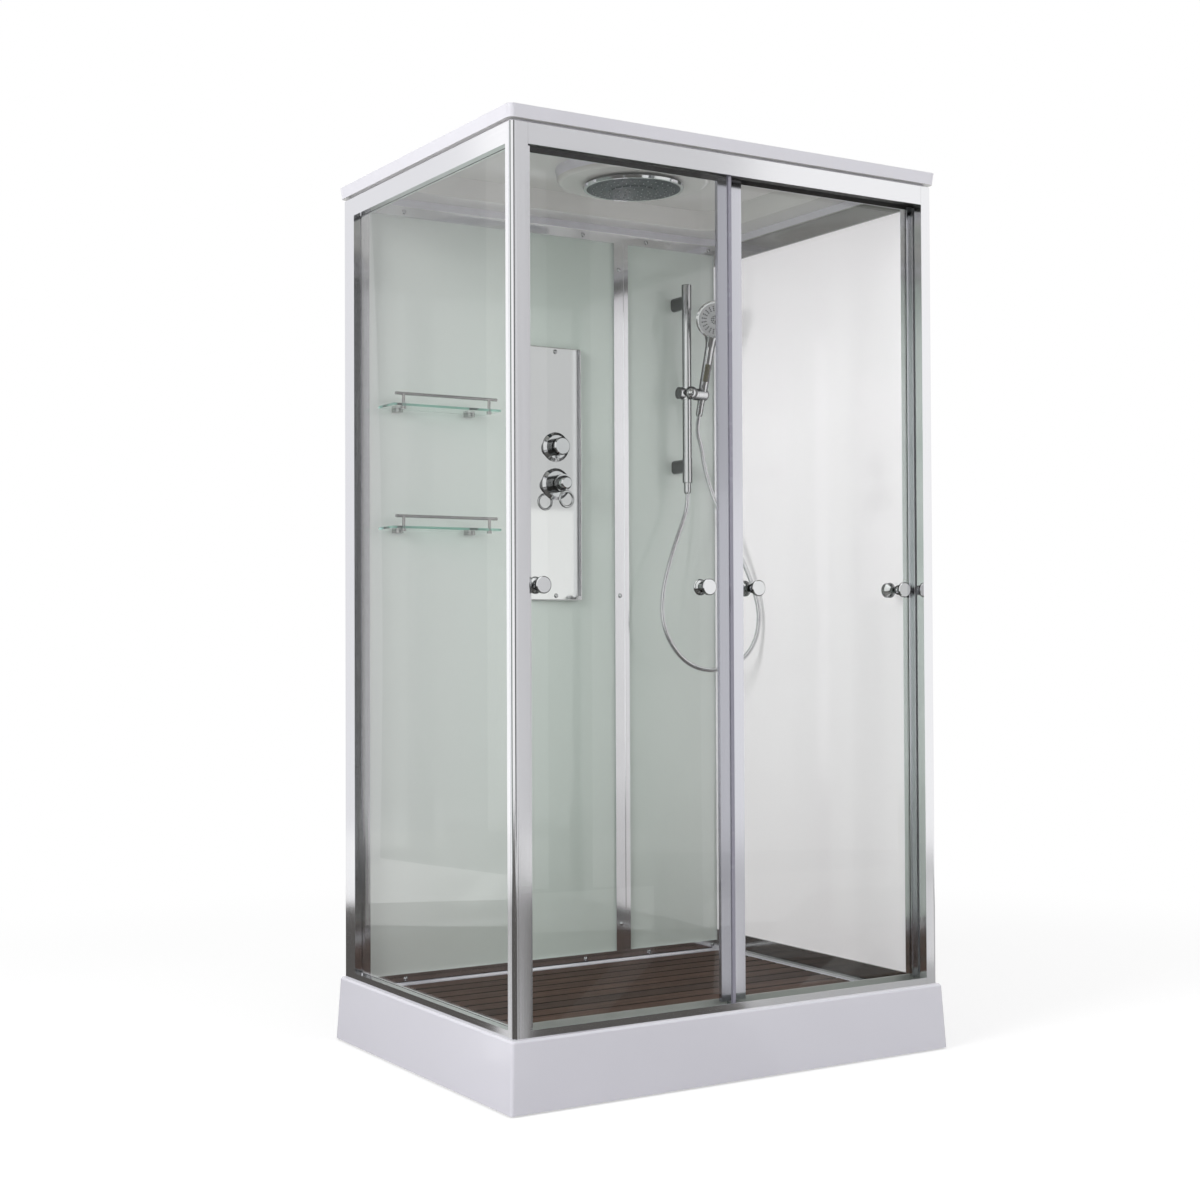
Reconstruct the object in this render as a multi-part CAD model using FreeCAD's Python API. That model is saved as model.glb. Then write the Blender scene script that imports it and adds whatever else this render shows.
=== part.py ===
import FreeCAD, Part
import math
import os

# Corner shower cabin with a moulded tray, a polished aluminium frame, two sliding glass doors,
# painted glass walls, a roof with a rain head, a control panel, a hand shower and two shelves.
# Millimetres. Origin on the floor under the centre of the tray, X to the right along the doors,
# Y towards the back wall, Z up.

V = FreeCAD.Vector

# Overall sizes
tray_width = 1200.0
tray_depth = 900.0
overall_height = 2150.0

# Common clearances
fit = 0.3
glazing = 0.5
bearing = 0.05
glass = 5.0

# Tray
rim_height = 156.0
seat_height = 128.0
skirt_clearance = 4.0
skirt_flare = 8.0
tray_corner = 7.0
lip_round = 5.0
acrylic = 5.0
basin_floor = 80.0
basin_margin_side = 48.0
basin_margin_back = 46.0
basin_margin_front = 115.0
basin_corner = 26.0
basin_slope = 8.0
basin_edge_round = 12.0

# Frame of aluminium profiles
frame_inset = 17.0
rail_width = 30.0
rail_height = 45.0
groove_depth = 10.0
glass_inset = 20.5
profile_round = 8.0
profile_wall = 2.0
front_post_width = 41.0
front_post_depth = 26.0
post_line = 11.0
post_line_width = 1.4
post_line_depth = 0.8
right_post_width = 32.0
right_post_depth = 24.0
right_post_web = 14.0
right_post_flange = 14.0
back_post_depth = 62.0
back_post_width = 59.0
back_rail_depth = 31.0
back_rail_height = 24.0
back_groove_inset = 22.5
mullion_share = 0.3714
mullion_width = 45.0
mullion_proud = 6.0
mullion_line = 30.0
mullion_line_depth = 1.0

# Front tracks
track_depth = 66.0
track_wall = 2.5
track_base = 3.0
track_web = 3.0
web_drop = 8.0
ledge_reach = 16.5
ledge_thick = 2.5
ledge_height = 10.0
door_pitch = 40.0

# Roof
crown_rise = 30.0
crown_margin = 110.0
crown_slope = 40.0
roof_rise = 34.0
roof_overhang = 9.0
roof_lean = 3.0
fascia_height = 28.0
roof_wall = 4.0
roof_corner = 14.0
ceiling_rise = 19.0
ceiling_margin = 38.0
ceiling_corner = 60.0
drum_radius = 188.0
drum_draft = 6.0
drum_round = 14.0
drum_rise = 8.0

# Rain head
rain_radius = 125.0
rain_thick = 12.0
rain_rim = 9.0
rain_dome = 7.0
rain_step = 2.0
rain_gap = 2.0
nozzle_rings = 5
nozzle_radius = 1.7
nozzle_length = 2.6
stem_radius = 10.5
stem_nut = 18.0
stem_nut_height = 8.0
stem_height = 24.0

# Doors
meeting_x = -12.0
stile_lead = 4.0
door_lap = 48.0
door_bottom_gap = 16.0
door_top_gap = 12.0
stile_depth = 10.0
lap_stile_width = 68.0
edge_stile_width = 19.0
lap_strip_width = 8.0
lap_strip_depth = 9.0
edge_channel_width = 6.0
seal_width = 3.0
stile_tuck = 4.0
strip_tuck = 12.0
knob_radius = 18.5
knob_neck = 9.0
knob_long = 27.0
knob_inner = 44.0
knob_low = 10.0
knob_lap = 21.0
knob_bolt = 4.8
left_knob_edge = 23.0
left_knob_lap = 82.0
right_knob_lap = 100.0
right_knob_edge = 48.0
roller_radius = 11.0
roller_width = 8.0
axle_radius = 3.0
hub_radius = 8.0
hanger_inset = 120.0
guide_length = 40.0
guide_height = 24.0
guide_slack = 0.8

# Under the tray
tube = 25.0
tube_wall = 2.0
tube_margin_x = 83.0
tube_margin_y = 203.0
cross_tube_share = 0.34
foot_radius = 22.0
foot_thick = 6.0
foot_rod = 6.0
drain_x = 0.0
drain_y = 60.0
drain_bore = 45.0
drain_flange = 57.0
drain_thick = 3.0
drain_wall = 4.0
trap_radius = 54.0
trap_bottom = 8.0
outlet_radius = 16.0
outlet_length = 66.0
outlet_nut_radius = 21.0
outlet_nut_length = 10.0
pipe_notch_width = 80.0
pipe_notch_height = 70.0

# Duckboard
slat_count = 11
slat_gap = 6.0
slat_thick = 18.0
slat_edge = 1.5
duckboard_slack = 10.0
batten_width = 40.0
batten_shares = (-0.86, -0.28, 0.28, 0.86)

# Control panel
panel_x = 4.0
panel_drop = 658.0
panel_width = 162.0
panel_height = 670.0
panel_depth = 15.0
panel_sheet = 1.5
panel_corner = 6.0
panel_round = 3.0
diverter_rise = 70.0
mixer_sink = 28.0
diverter_plate = 39.0
mixer_plate = 42.0
plate_thick = 8.0
spindle_radius = 8.0
spindle_reach = 21.0
diverter_radius = 23.5
diverter_length = 30.0
peg_radius = 3.0
peg_length = 13.0
collar_radius = 24.0
collar_back = 4.0
ball_radius = 20.0
ball_reach = 46.0
ball_flat = 15.0
lever_ring = 20.0
lever_wire = 3.2
lever_drop = 43.0
valve_width = 90.0
valve_depth = 18.0
inlet_radius = 10.5
inlet_length = 18.0
inlet_spread = 30.0

# Hand shower set
bar_inset = 189.0
bar_standoff = 61.0
bar_drop = 128.0
bar_length = 543.0
bar_radius = 12.4
sleeve_radius = 13.4
sleeve_length = 68.0
bracket_inset = 47.0
bracket_width = 22.0
bracket_height = 38.0
hose_nut_radius = 9.5
hose_nut_length = 29.0
slider_rise = 245.0
slider_radius = 17.0
slider_height = 34.0
barrel_radius = 16.5
barrel_left = 28.0
barrel_right = 30.0
clamp_neck = 9.6
clamp_neck_length = 1.5
clamp_knob_radius = 18.0
clamp_knob_collar = 2.0
handset_reach = 51.0
handset_lean = 17.0
handset_twist = 25.0
socket_height = 36.0
socket_wall = 4.0
arm_round = 9.0
handle_radius = 11.5
handle_below = 28.0
handle_length = 176.0
neck_start = 132.0
neck_end = 160.0
neck_flare = 8.0
head_radius = 52.0
head_thick = 20.0
head_rise = 208.0
head_bevel = 3.0
face_radius = 45.0
face_level = 0.2
selector_width = 3.5
selector_tab_reach = 2.0
selector_tab_width = 9.0
handset_nut_length = 32.0
hose_radius = 6.25
hose_bore = 4.0
hose_straight = 40.0

# Shelves
shelf_drops = (813.0, 509.0)
shelf_share = -0.5952
shelf_width_share = 0.5146
shelf_depth = 90.0
shelf_thick = 6.0
clamp_share = 0.677
clamp_width = 24.0
clamp_above = 2.5
clamp_below = 8.0
clamp_depth = 26.0
guard_height = 25.0
guard_radius = 4.0
guard_share = 0.8
guard_overrun = 22.0
guard_pin = 3.0
guard_nut_radius = 6.5
guard_nut_height = 7.0

# Domed screws
screw_radius = 6.0
screw_dome = 4.0
rail_screw_shares = (-0.734, 0.165, 0.511, 0.868)

# Places that follow from the sizes above
frame_x = tray_width / 2 - frame_inset
frame_y = tray_depth / 2 - frame_inset
fascia_top = overall_height - crown_rise
frame_top = fascia_top - roof_rise
rail_top = seat_height + rail_height
rail_bottom = frame_top - rail_height
track_y = -frame_y + track_depth / 2
outer_glass_y = track_y - door_pitch / 2
inner_glass_y = track_y + door_pitch / 2
wall_y = frame_y - back_groove_inset - glass / 2
panel_face_y = wall_y - panel_depth
bar_x = frame_x - bar_inset
bar_y = wall_y - bar_standoff
bar_top = frame_top - bar_drop
bar_bottom = bar_top - bar_length
slider_z = bar_bottom + slider_rise
mullion_x = mullion_share * frame_x
panel_z = frame_top - panel_drop
diverter_z = panel_z + diverter_rise
mixer_z = panel_z - mixer_sink
shelf_x = shelf_share * frame_x
shelf_width = shelf_width_share * frame_x
shelf_heights = [frame_top - drop for drop in shelf_drops]
frame_half_x = frame_x - tube_margin_x
frame_half_y = frame_y - tube_margin_y
cross_tube_x = cross_tube_share * frame_half_x
knob_height = (rail_top + rail_bottom) / 2
side_glass_x = frame_x - glass_inset
left_post_x = -frame_x + front_post_width
right_post_x = frame_x - right_post_width
ledge_top = rail_bottom + ledge_height
roof_bottom = fascia_top - fascia_height
ceiling_z = frame_top + ceiling_rise
drum_z = ceiling_z + drum_rise
rail_groove = 2 * groove_depth


def box(x0, x1, y0, y1, z0, z1):
    """Block between two corners."""
    return Part.makeBox(x1 - x0, y1 - y0, z1 - z0, V(x0, y0, z0))


def rod(start, direction, radius, length):
    """Round bar."""
    return Part.makeCylinder(radius, length, start, direction)


def profile(points, along):
    """Straight extrusion of a closed outline."""
    wire = Part.makePolygon(points + [points[0]])
    return Part.Face(wire).extrude(along)


def turned(points, centre, axis):
    """Solid of revolution: each point is (radius, distance along the axis)."""
    side = V(0, 0, 1) if abs(axis.z) < 0.5 else V(1, 0, 0)
    spots = [centre + side * r + axis * d for r, d in points]
    wire = Part.makePolygon(spots + [spots[0]])
    return Part.Face(wire).revolve(centre, axis, 360)


def round_rectangle(half_x, half_y, z, radius, centre_y=0.0):
    """Level wire of a rectangle with round corners."""
    edges = []
    corners = [(1, -1, -90), (1, 1, 0), (-1, 1, 90), (-1, -1, 180)]
    ends = []
    for sx, sy, turn in corners:
        middle = V(sx * (half_x - radius), centre_y + sy * (half_y - radius), z)
        turns = [math.radians(turn + a) for a in (0, 45, 90)]
        arc = [middle + V(radius * math.cos(a), radius * math.sin(a), 0) for a in turns]
        ends.append(arc)
    for i, arc in enumerate(ends):
        edges.append(Part.Arc(*arc).toShape())
        edges.append(Part.LineSegment(arc[2], ends[(i + 1) % 4][0]).toShape())
    return Part.Wire(edges)


def loft(wires):
    """Solid with straight walls through level wires."""
    return Part.makeLoft(wires, True, True)


def fillet_upright(solid, x, y, radius):
    """Round the upright edge that stands at x, y."""
    edges = [e for e in solid.Edges
             if abs(e.BoundBox.XLength) < 0.01 and abs(e.BoundBox.YLength) < 0.01
             and abs(e.BoundBox.XMin - x) < 0.01 and abs(e.BoundBox.YMin - y) < 0.01]
    return solid.makeFillet(radius, edges)


def write(name, shapes):
    """Write one node: a single solid, or a group of separate solids."""
    solids = shapes if isinstance(shapes, list) else [shapes]
    solids = [s for shape in solids for s in shape.Solids]
    whole = solids[0] if len(solids) == 1 else Part.makeCompound(solids)
    whole.exportStep("parts/" + name + ".step")


def basin_wires(grow):
    """Rings of the tray's basin from its ledge down to its floor, grown outwards by a wall."""
    half_x = frame_x - basin_margin_side + grow
    front = -frame_y + basin_margin_front - grow
    back = frame_y - basin_margin_back + grow
    half_y = (back - front) / 2
    centre_y = (back + front) / 2
    steps = [(0, seat_height + 1), (0, seat_height - basin_edge_round),
             (basin_slope, basin_floor + basin_edge_round - grow),
             (basin_slope + basin_edge_round, basin_floor - grow)]
    return [round_rectangle(half_x - inset, half_y - inset, z, basin_corner - inset, centre_y)
            for inset, z in steps]


def make_tray():
    """Vacuum-formed tray: flared skirt notched for the pipe, raised lip, ledge and basin, all one skin."""
    half_x = tray_width / 2
    half_y = tray_depth / 2

    def ring(inset, z):
        return round_rectangle(half_x - inset, half_y - inset, z, tray_corner)

    lip_z = rim_height - lip_round
    outside = loft([ring(0, skirt_clearance), ring(skirt_flare, lip_z),
                    ring(skirt_flare + lip_round / 2, rim_height)])
    recess = Part.Face(round_rectangle(frame_x + fit, frame_y + fit, seat_height, profile_round + fit))
    recess = recess.extrude(V(0, 0, rim_height - seat_height + 1))
    hollow = loft([ring(acrylic, skirt_clearance - 1), ring(acrylic + skirt_flare, seat_height - acrylic)])
    hollow = hollow.cut(loft(basin_wires(acrylic)))
    drain = rod(V(drain_x, drain_y, basin_floor - 2 * acrylic), V(0, 0, 1), drain_bore, 3 * acrylic)
    notch_half = pipe_notch_width / 2
    notch = box(drain_x - notch_half, drain_x + notch_half, half_y - 4 * acrylic, half_y + 1,
                0, pipe_notch_height)
    return outside.cut(recess).cut(loft(basin_wires(0))).cut(hollow).cut(drain).cut(notch)


def square_tube(start, end):
    """Hollow square tube between two points on its axis, along X or Y."""
    run = end - start
    side = V(0, 1, 0) if abs(run.x) > abs(run.y) else V(1, 0, 0)
    up = V(0, 0, 1)

    def section(half):
        corners = ((-1, -1), (1, -1), (1, 1), (-1, 1))
        return [start + side * (a * half) + up * (b * half) for a, b in corners]

    return profile(section(tube / 2), run).cut(profile(section(tube / 2 - tube_wall), run))


def make_base_frame():
    """Welded frame of square tubes that carries the basin floor."""
    z = basin_floor - acrylic - tube / 2
    reach_x = frame_half_x + tube
    reach_y = frame_half_y - tube / 2
    tubes = [square_tube(V(-reach_x, y, z), V(reach_x, y, z)) for y in (-frame_half_y, frame_half_y)]
    for x in (-frame_half_x, -cross_tube_x, cross_tube_x, frame_half_x):
        tubes.append(square_tube(V(x, -reach_y, z), V(x, reach_y, z)))
    return tubes


def make_feet():
    """Eight levelling feet: a pad, a threaded rod and a lock nut under each joint of the base frame."""
    top = basin_floor - acrylic - tube
    feet = []
    for x in (-frame_half_x, -cross_tube_x, cross_tube_x, frame_half_x):
        for y in (-frame_half_y, frame_half_y):
            outline = [(0, 0), (foot_radius, 0), (foot_radius, foot_thick / 2), (2 * foot_rod, foot_thick),
                       (foot_rod, foot_thick), (foot_rod, top - foot_rod), (2 * foot_rod, top - foot_rod),
                       (2 * foot_rod, top), (0, top)]
            feet.append(turned(outline, V(x, y, 0), V(0, 0, 1)))
    return feet


def make_waste():
    """Slotted waste fitting clamped through the basin floor."""
    low = basin_floor - acrylic - tube
    bore = drain_bore - fit
    end = low - basin_floor
    outline = [(bore - drain_wall, end), (bore, end), (bore, 0), (drain_flange, 0),
               (drain_flange - drain_thick, drain_thick), (0, drain_thick), (0, 0), (bore - drain_wall, 0)]
    waste = turned(outline, V(drain_x, drain_y, basin_floor), V(0, 0, 1))
    slot = box(drain_bore / 4, drain_bore * 0.8, -drain_wall / 2, drain_wall / 2, -1, 2 * drain_thick)
    for i in range(8):
        cut = slot.copy()
        cut.rotate(V(0, 0, 0), V(0, 0, 1), 45 * i)
        cut.translate(V(drain_x, drain_y, basin_floor))
        waste = waste.cut(cut)
    return waste


def make_trap():
    """Low trap screwed on the waste, with a spigot for the drain pipe that points to the back wall."""
    top = basin_floor - acrylic
    floor = trap_bottom + drain_wall
    cup = [(0, trap_bottom), (trap_radius, trap_bottom), (trap_radius, top), (drain_bore, top),
           (drain_bore, top - drain_wall), (trap_radius - drain_wall, top - tube),
           (trap_radius - drain_wall, floor), (0, floor)]
    body = turned(cup, V(drain_x, drain_y, 0), V(0, 0, 1))
    axis_z = trap_bottom + outlet_radius + drain_wall / 2
    back = V(0, 1, 0)
    start = V(drain_x, drain_y + trap_radius - drain_wall, axis_z)
    nut_length = outlet_nut_length + drain_wall
    nut = rod(start, back, outlet_nut_radius - drain_wall / 2, nut_length)
    pipe = rod(start, back, outlet_radius, nut_length + outlet_length)
    bore = rod(start - back * drain_wall, back, outlet_radius - drain_wall, 2 * outlet_length)
    return body.fuse(nut).fuse(pipe).cut(bore)


def duckboard_span():
    """Front and back edges of the duckboard in the basin."""
    return -frame_y + basin_margin_front + duckboard_slack, frame_y - basin_margin_back - duckboard_slack


def make_slats():
    """Eleven wooden slats with eased top edges, along X."""
    half = frame_x - basin_margin_side - duckboard_slack
    front, back = duckboard_span()
    pitch = (back - front + slat_gap) / slat_count
    slat_width = pitch - slat_gap
    low = seat_height - slat_thick
    slats = []
    for i in range(slat_count):
        y = front + i * pitch
        outline = [(y, low), (y + slat_width, low), (y + slat_width, seat_height - slat_edge),
                   (y + slat_width - slat_edge, seat_height), (y + slat_edge, seat_height),
                   (y, seat_height - slat_edge)]
        slats.append(profile([V(-half, a, b) for a, b in outline], V(2 * half, 0, 0)))
    return slats


def make_battens():
    """Four battens under the slats, which stand on the basin floor."""
    front, back = duckboard_span()
    inset = basin_slope + basin_edge_round
    half = batten_width / 2
    spots = [share * frame_half_x for share in batten_shares]
    return [box(x - half, x + half, front + inset, back - inset, basin_floor + fit, seat_height - slat_thick)
            for x in spots]


def make_front_left_post():
    """Corner post between the side glass and the left door: a hollow profile with a glazing groove."""
    post = box(-frame_x, left_post_x, -frame_y, -frame_y + front_post_depth, seat_height, frame_top)
    post = fillet_upright(post, -frame_x, -frame_y, profile_round)
    void = box(-frame_x + profile_wall, left_post_x - profile_wall, -frame_y + profile_wall,
               -frame_y + front_post_depth - groove_depth - profile_wall, seat_height - 1, frame_top + 1)
    inner_round = profile_round - profile_wall
    void = fillet_upright(void, -frame_x + profile_wall, -frame_y + profile_wall, inner_round)
    back = -frame_y + front_post_depth
    post = post.cut(void).cut(side_groove(-1, back - groove_depth, back))
    line_x = -frame_x + post_line
    line_y = -frame_y + post_line
    front_line = box(line_x, line_x + post_line_width, -frame_y - 1, -frame_y + post_line_depth,
                     seat_height - 1, frame_top + 1)
    side_line = box(-frame_x - 1, -frame_x + post_line_depth, line_y, line_y + post_line_width,
                    seat_height - 1, frame_top + 1)
    return post.cut(front_line).cut(side_line)


def side_groove(side, y0, y1):
    """Upright glazing groove for a side panel."""
    half = glass / 2 + glazing
    return box(side * side_glass_x - half, side * side_glass_x + half, y0, y1, seat_height - 1, frame_top + 1)


def make_front_right_post():
    """Post beside the right door: the door's seal closes into its channel, the wall panel into its back."""
    front = -frame_y
    back = track_y + track_depth / 2 + right_post_flange + fit
    web = frame_x - right_post_web
    inner = frame_x - rail_width
    step = back - right_post_flange
    lip = front + right_post_depth
    outline = [(right_post_x, front), (frame_x, front), (frame_x, back), (inner, back), (inner, step),
               (web, step), (web, lip), (right_post_x, lip)]
    post = profile([V(x, y, seat_height) for x, y in outline], V(0, 0, frame_top - seat_height))
    post = fillet_upright(post, frame_x, front, profile_round)
    void = box(web + profile_wall, frame_x - profile_wall, lip, step - profile_wall,
               seat_height - 1, frame_top + 1)
    return post.cut(void).cut(side_groove(1, back - groove_depth, back))


def make_back_post(side):
    """L-shaped corner post that takes a side panel and a back panel in its grooves."""
    front = frame_y - back_post_depth
    inner = frame_x - back_post_width
    step = frame_y - back_rail_depth
    outline = [(frame_x, front), (frame_x - rail_width, front), (frame_x - rail_width, step), (inner, step),
               (inner, frame_y), (frame_x, frame_y)]
    post = profile([V(side * x, y, seat_height) for x, y in outline], V(0, 0, frame_top - seat_height))
    post = fillet_upright(post, side * frame_x, frame_y, profile_round)
    half = glass / 2 + glazing
    centre = wall_y + glass / 2
    x0, x1 = sorted((side * (inner - 1), side * (inner + groove_depth)))
    groove = box(x0, x1, centre - half, centre + half, seat_height - 1, frame_top + 1)
    x0, x1 = sorted((side * (frame_x - rail_width + profile_wall), side * (frame_x - profile_wall)))
    void = box(x0, x1, front + groove_depth + profile_wall, frame_y - profile_round,
               seat_height - 1, frame_top + 1)
    return post.cut(void).cut(side_groove(side, front, front + groove_depth)).cut(groove)


def make_side_rails(side):
    """Bottom and top rail of one side: hollow, with a glazing groove."""
    outer = side * frame_x
    inner = side * (frame_x - rail_width)
    centre = side * side_glass_x
    half = side * (glass / 2 + glazing)
    start = -frame_y + front_post_depth
    if side > 0:
        start = track_y + track_depth / 2 + right_post_flange + fit
    end = frame_y - back_post_depth
    wall = side * profile_wall
    x0, x1 = sorted((outer - wall, centre + half + wall))

    def rail(seat, lip, groove):
        outline = [(outer, seat), (inner, seat), (inner, lip), (centre - half, lip), (centre - half, groove),
                   (centre + half, groove), (centre + half, lip), (outer, lip)]
        z0, z1 = sorted((seat, lip))
        void = box(x0, x1, start - 1, end + 1, z0 + profile_wall, z1 - profile_wall)
        return profile([V(x, start, z) for x, z in outline], V(0, end - start, 0)).cut(void)

    return [rail(seat_height, rail_top, rail_top - rail_groove),
            rail(frame_top, rail_bottom, rail_bottom + rail_groove)]


def make_back_rails():
    """Bottom and top rail of the back wall, between the back posts."""
    end = frame_x - back_post_width
    front = frame_y - back_rail_depth
    half = glass / 2 + glazing
    centre = wall_y + glass / 2

    def rail(seat, lip, groove):
        outline = [(frame_y, seat), (front, seat), (front, lip), (centre - half, lip),
                   (centre - half, groove), (centre + half, groove), (centre + half, lip), (frame_y, lip)]
        return profile([V(-end, y, z) for y, z in outline], V(2 * end, 0, 0))

    low = seat_height + back_rail_height
    high = frame_top - back_rail_height
    return [rail(seat_height, low, low - groove_depth), rail(frame_top, high, high + groove_depth)]


def make_mullion():
    """Upright profile that joins the two back panels, with a shallow line along its face."""
    left = mullion_x - mullion_width / 2
    right = mullion_x + mullion_width / 2
    front = wall_y - mullion_proud
    half = glass / 2 + glazing
    centre = wall_y + glass / 2
    web_left = left + groove_depth
    web_right = right - groove_depth
    line = left + mullion_line
    cut = mullion_line_depth
    outline = [(left, front), (line - cut, front), (line, front + cut), (line + cut, front), (right, front),
               (right, centre - half), (web_right, centre - half), (web_right, centre + half),
               (right, centre + half), (right, frame_y), (left, frame_y), (left, centre + half),
               (web_left, centre + half),
               (web_left, centre - half), (left, centre - half)]
    low = seat_height + back_rail_height
    high = frame_top - back_rail_height
    void = box(web_left + profile_wall, web_right - profile_wall, front + cut + profile_wall,
               frame_y - profile_wall, low - 1, high + 1)
    return profile([V(x, y, low) for x, y in outline], V(0, 0, high - low)).cut(void)


def make_side_panel(side):
    """Sheet of glass held in the grooves of one side."""
    start = -frame_y + front_post_depth
    if side > 0:
        start = track_y + track_depth / 2 + right_post_flange + fit
    seat = groove_depth - glazing
    centre = side * side_glass_x
    low = rail_top - rail_groove + glazing
    high = rail_bottom + rail_groove - glazing
    end = frame_y - back_post_depth + seat
    return box(centre - glass / 2, centre + glass / 2, start - seat, end, low, high)


def make_back_panel(left):
    """Back-painted glass panel between a back post and the mullion."""
    seat = groove_depth - glazing
    end = frame_x - back_post_width + seat
    x0 = -end if left else mullion_x + mullion_width / 2 - seat
    x1 = mullion_x - mullion_width / 2 + seat if left else end
    low = seat_height + back_rail_height - seat
    high = frame_top - back_rail_height + seat
    panel = box(x0, x1, wall_y, wall_y + glass, low, high)
    if left:
        for z in (diverter_z, mixer_z):
            panel = panel.cut(rod(V(panel_x, wall_y - 1, z), V(0, 1, 0), 2 * spindle_radius, glass + 2))
    return panel


def track_ends(rail):
    """Cut a front rail's ends round the two front posts."""
    reach = 2 * rail_width
    front = -frame_y - 1
    left_back = -frame_y + front_post_depth + fit
    right_back = -frame_y + right_post_depth + fit
    left = box(-frame_x - reach, left_post_x + fit, front, left_back, 0, overall_height)
    right = box(right_post_x - fit, frame_x + reach, front, right_back, 0, overall_height)
    return rail.cut(left).cut(right)


def track_outline(base, lip, web_points):
    """Outline of a front rail: two walls on a base, with a web between the two tracks."""
    front = -frame_y
    back = front + track_depth
    inside = base + (track_base if lip > base else -track_base)
    return [(front, base), (back, base), (back, lip), (back - track_wall, lip), (back - track_wall, inside)] \
        + web_points(inside) + [(front + track_wall, inside), (front + track_wall, lip), (front, lip)]


def extrude_track(outline):
    """Front rail along X, from the left side rail to the right post's channel."""
    x0 = -frame_x + rail_width
    x1 = frame_x - right_post_web - fit
    return track_ends(profile([V(x0, y, z) for y, z in outline], V(x1 - x0, 0, 0)))


def make_front_bottom_rail():
    """Low threshold profile with two grooves for the doors' guides."""
    half = track_web / 2

    def web(inside):
        return [(track_y + half, inside), (track_y + half, rail_top - web_drop),
                (track_y - half, rail_top - web_drop), (track_y - half, inside)]

    return extrude_track(track_outline(seat_height, rail_top, web))


def make_front_top_rail():
    """Top profile: a web hangs between two tracks and carries a ledge for the rollers of each door."""
    half = track_web / 2
    under = ledge_top - ledge_thick

    def web(inside):
        return [(track_y + half, inside), (track_y + half, ledge_top), (track_y + ledge_reach, ledge_top),
                (track_y + ledge_reach, under), (track_y - ledge_reach, under),
                (track_y - ledge_reach, ledge_top), (track_y - half, ledge_top), (track_y - half, inside)]

    return extrude_track(track_outline(frame_top, rail_bottom, web))


def make_roof():
    """Moulded roof: leaning fascia, flange on the rails, raised crown, drum over the rain head."""
    top_x = frame_x + roof_overhang
    top_y = frame_y + roof_overhang
    low_x = top_x - roof_lean
    low_y = top_y - roof_lean
    shell = loft([round_rectangle(low_x, low_y, roof_bottom, roof_corner),
                  round_rectangle(top_x, top_y, fascia_top, roof_corner)])
    seat = round_rectangle(frame_x - profile_round, frame_y - profile_round, frame_top, roof_corner)
    shell = shell.fuse(Part.Face(seat).extrude(V(0, 0, roof_bottom - frame_top + 1)))
    roof_top = ceiling_z + roof_wall
    tray = round_rectangle(low_x - 2 * roof_wall, low_y - 2 * roof_wall, roof_top, roof_corner - roof_wall)
    shell = shell.cut(Part.Face(tray).extrude(V(0, 0, fascia_top - roof_top + 1)))
    room = round_rectangle(frame_x - ceiling_margin, frame_y - ceiling_margin, frame_top - 1, ceiling_corner)
    shell = shell.cut(Part.Face(room).extrude(V(0, 0, ceiling_rise + 1)))
    shell = shell.fuse(crown(0, ceiling_z, overall_height))
    shell = shell.cut(crown(1.5 * roof_wall, ceiling_z - 1, overall_height - roof_wall))
    shell = shell.fuse(drum(0, overall_height)).cut(drum(roof_wall, overall_height + 1))
    return shell.cut(rod(V(0, 0, ceiling_z), V(0, 0, 1), stem_radius + fit, 2 * ceiling_rise))


def crown(inset, low, high):
    """Block with sloping sides in the middle of the roof."""
    half_x = frame_x - crown_margin - inset
    half_y = frame_y - crown_margin - inset
    return loft([round_rectangle(half_x, half_y, low, ceiling_corner),
                 round_rectangle(half_x - crown_slope, half_y - crown_slope, high, ceiling_corner)])


def drum(inset, high):
    """Round block with a drafted side and a soft lower edge, above the rain head."""
    low = drum_z + inset
    radius = drum_radius - inset
    block = Part.makeCone(radius, radius + drum_draft, high - low, V(0, 0, low), V(0, 0, 1))
    rim = [edge for edge in block.Edges if edge.BoundBox.ZMax < low + 1]
    return block.makeFillet(drum_round - inset, rim)


def rain_levels():
    """Heights of the rain head's back and rim."""
    back = drum_z - rain_gap
    return back, back - rain_thick


def make_rain_body():
    """Flat chrome bowl of the rain head, open downwards for its face."""
    back, rim = rain_levels()
    face = rain_radius - rain_rim
    outline = [(stem_radius, back), (rain_radius - rain_rim, back), (rain_radius, back - rain_thick / 2),
               (rain_radius - rain_rim / 4, rim), (face, rim), (face, rim + rain_step + fit),
               (stem_radius, rim + rain_step + fit)]
    return turned(outline, V(0, 0, 0), V(0, 0, 1))


def rain_face_z(radius):
    """Height of the face's lower side at a radius: a shallow dome with a step at half radius."""
    rim = rain_levels()[1]
    face = rain_radius - rain_rim - fit
    step = rain_step if radius < face / 2 else 0.0
    return rim - (rain_dome - rain_step) * (1 - (radius / face) ** 2) - step


def make_rain_face():
    """Stepped, slightly domed face plate with rings of rubber nozzles."""
    rim = rain_levels()[1]
    face = rain_radius - rain_rim - fit
    top = rim + rain_step
    rings = [0, 0.17, 0.33, 0.499, 0.501, 0.67, 0.84, 1.0]
    outline = [(0, top)] + [(face * s, rain_face_z(face * s)) for s in rings] + [(face, top)]
    plate = turned(outline, V(0, 0, 0), V(0, 0, 1))
    pitch = face / (nozzle_rings + 0.75)
    nozzles = []
    for i in range(1, nozzle_rings + 1):
        for k in range(6 * i):
            turn = 2 * math.pi * (k + 0.5 * (i % 2)) / (6 * i)
            z = rain_face_z(pitch * i) + nozzle_length / 2
            spot = V(pitch * i * math.cos(turn), pitch * i * math.sin(turn), z)
            nozzles.append(nozzle(spot))
    return plate.multiFuse(nozzles)


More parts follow.
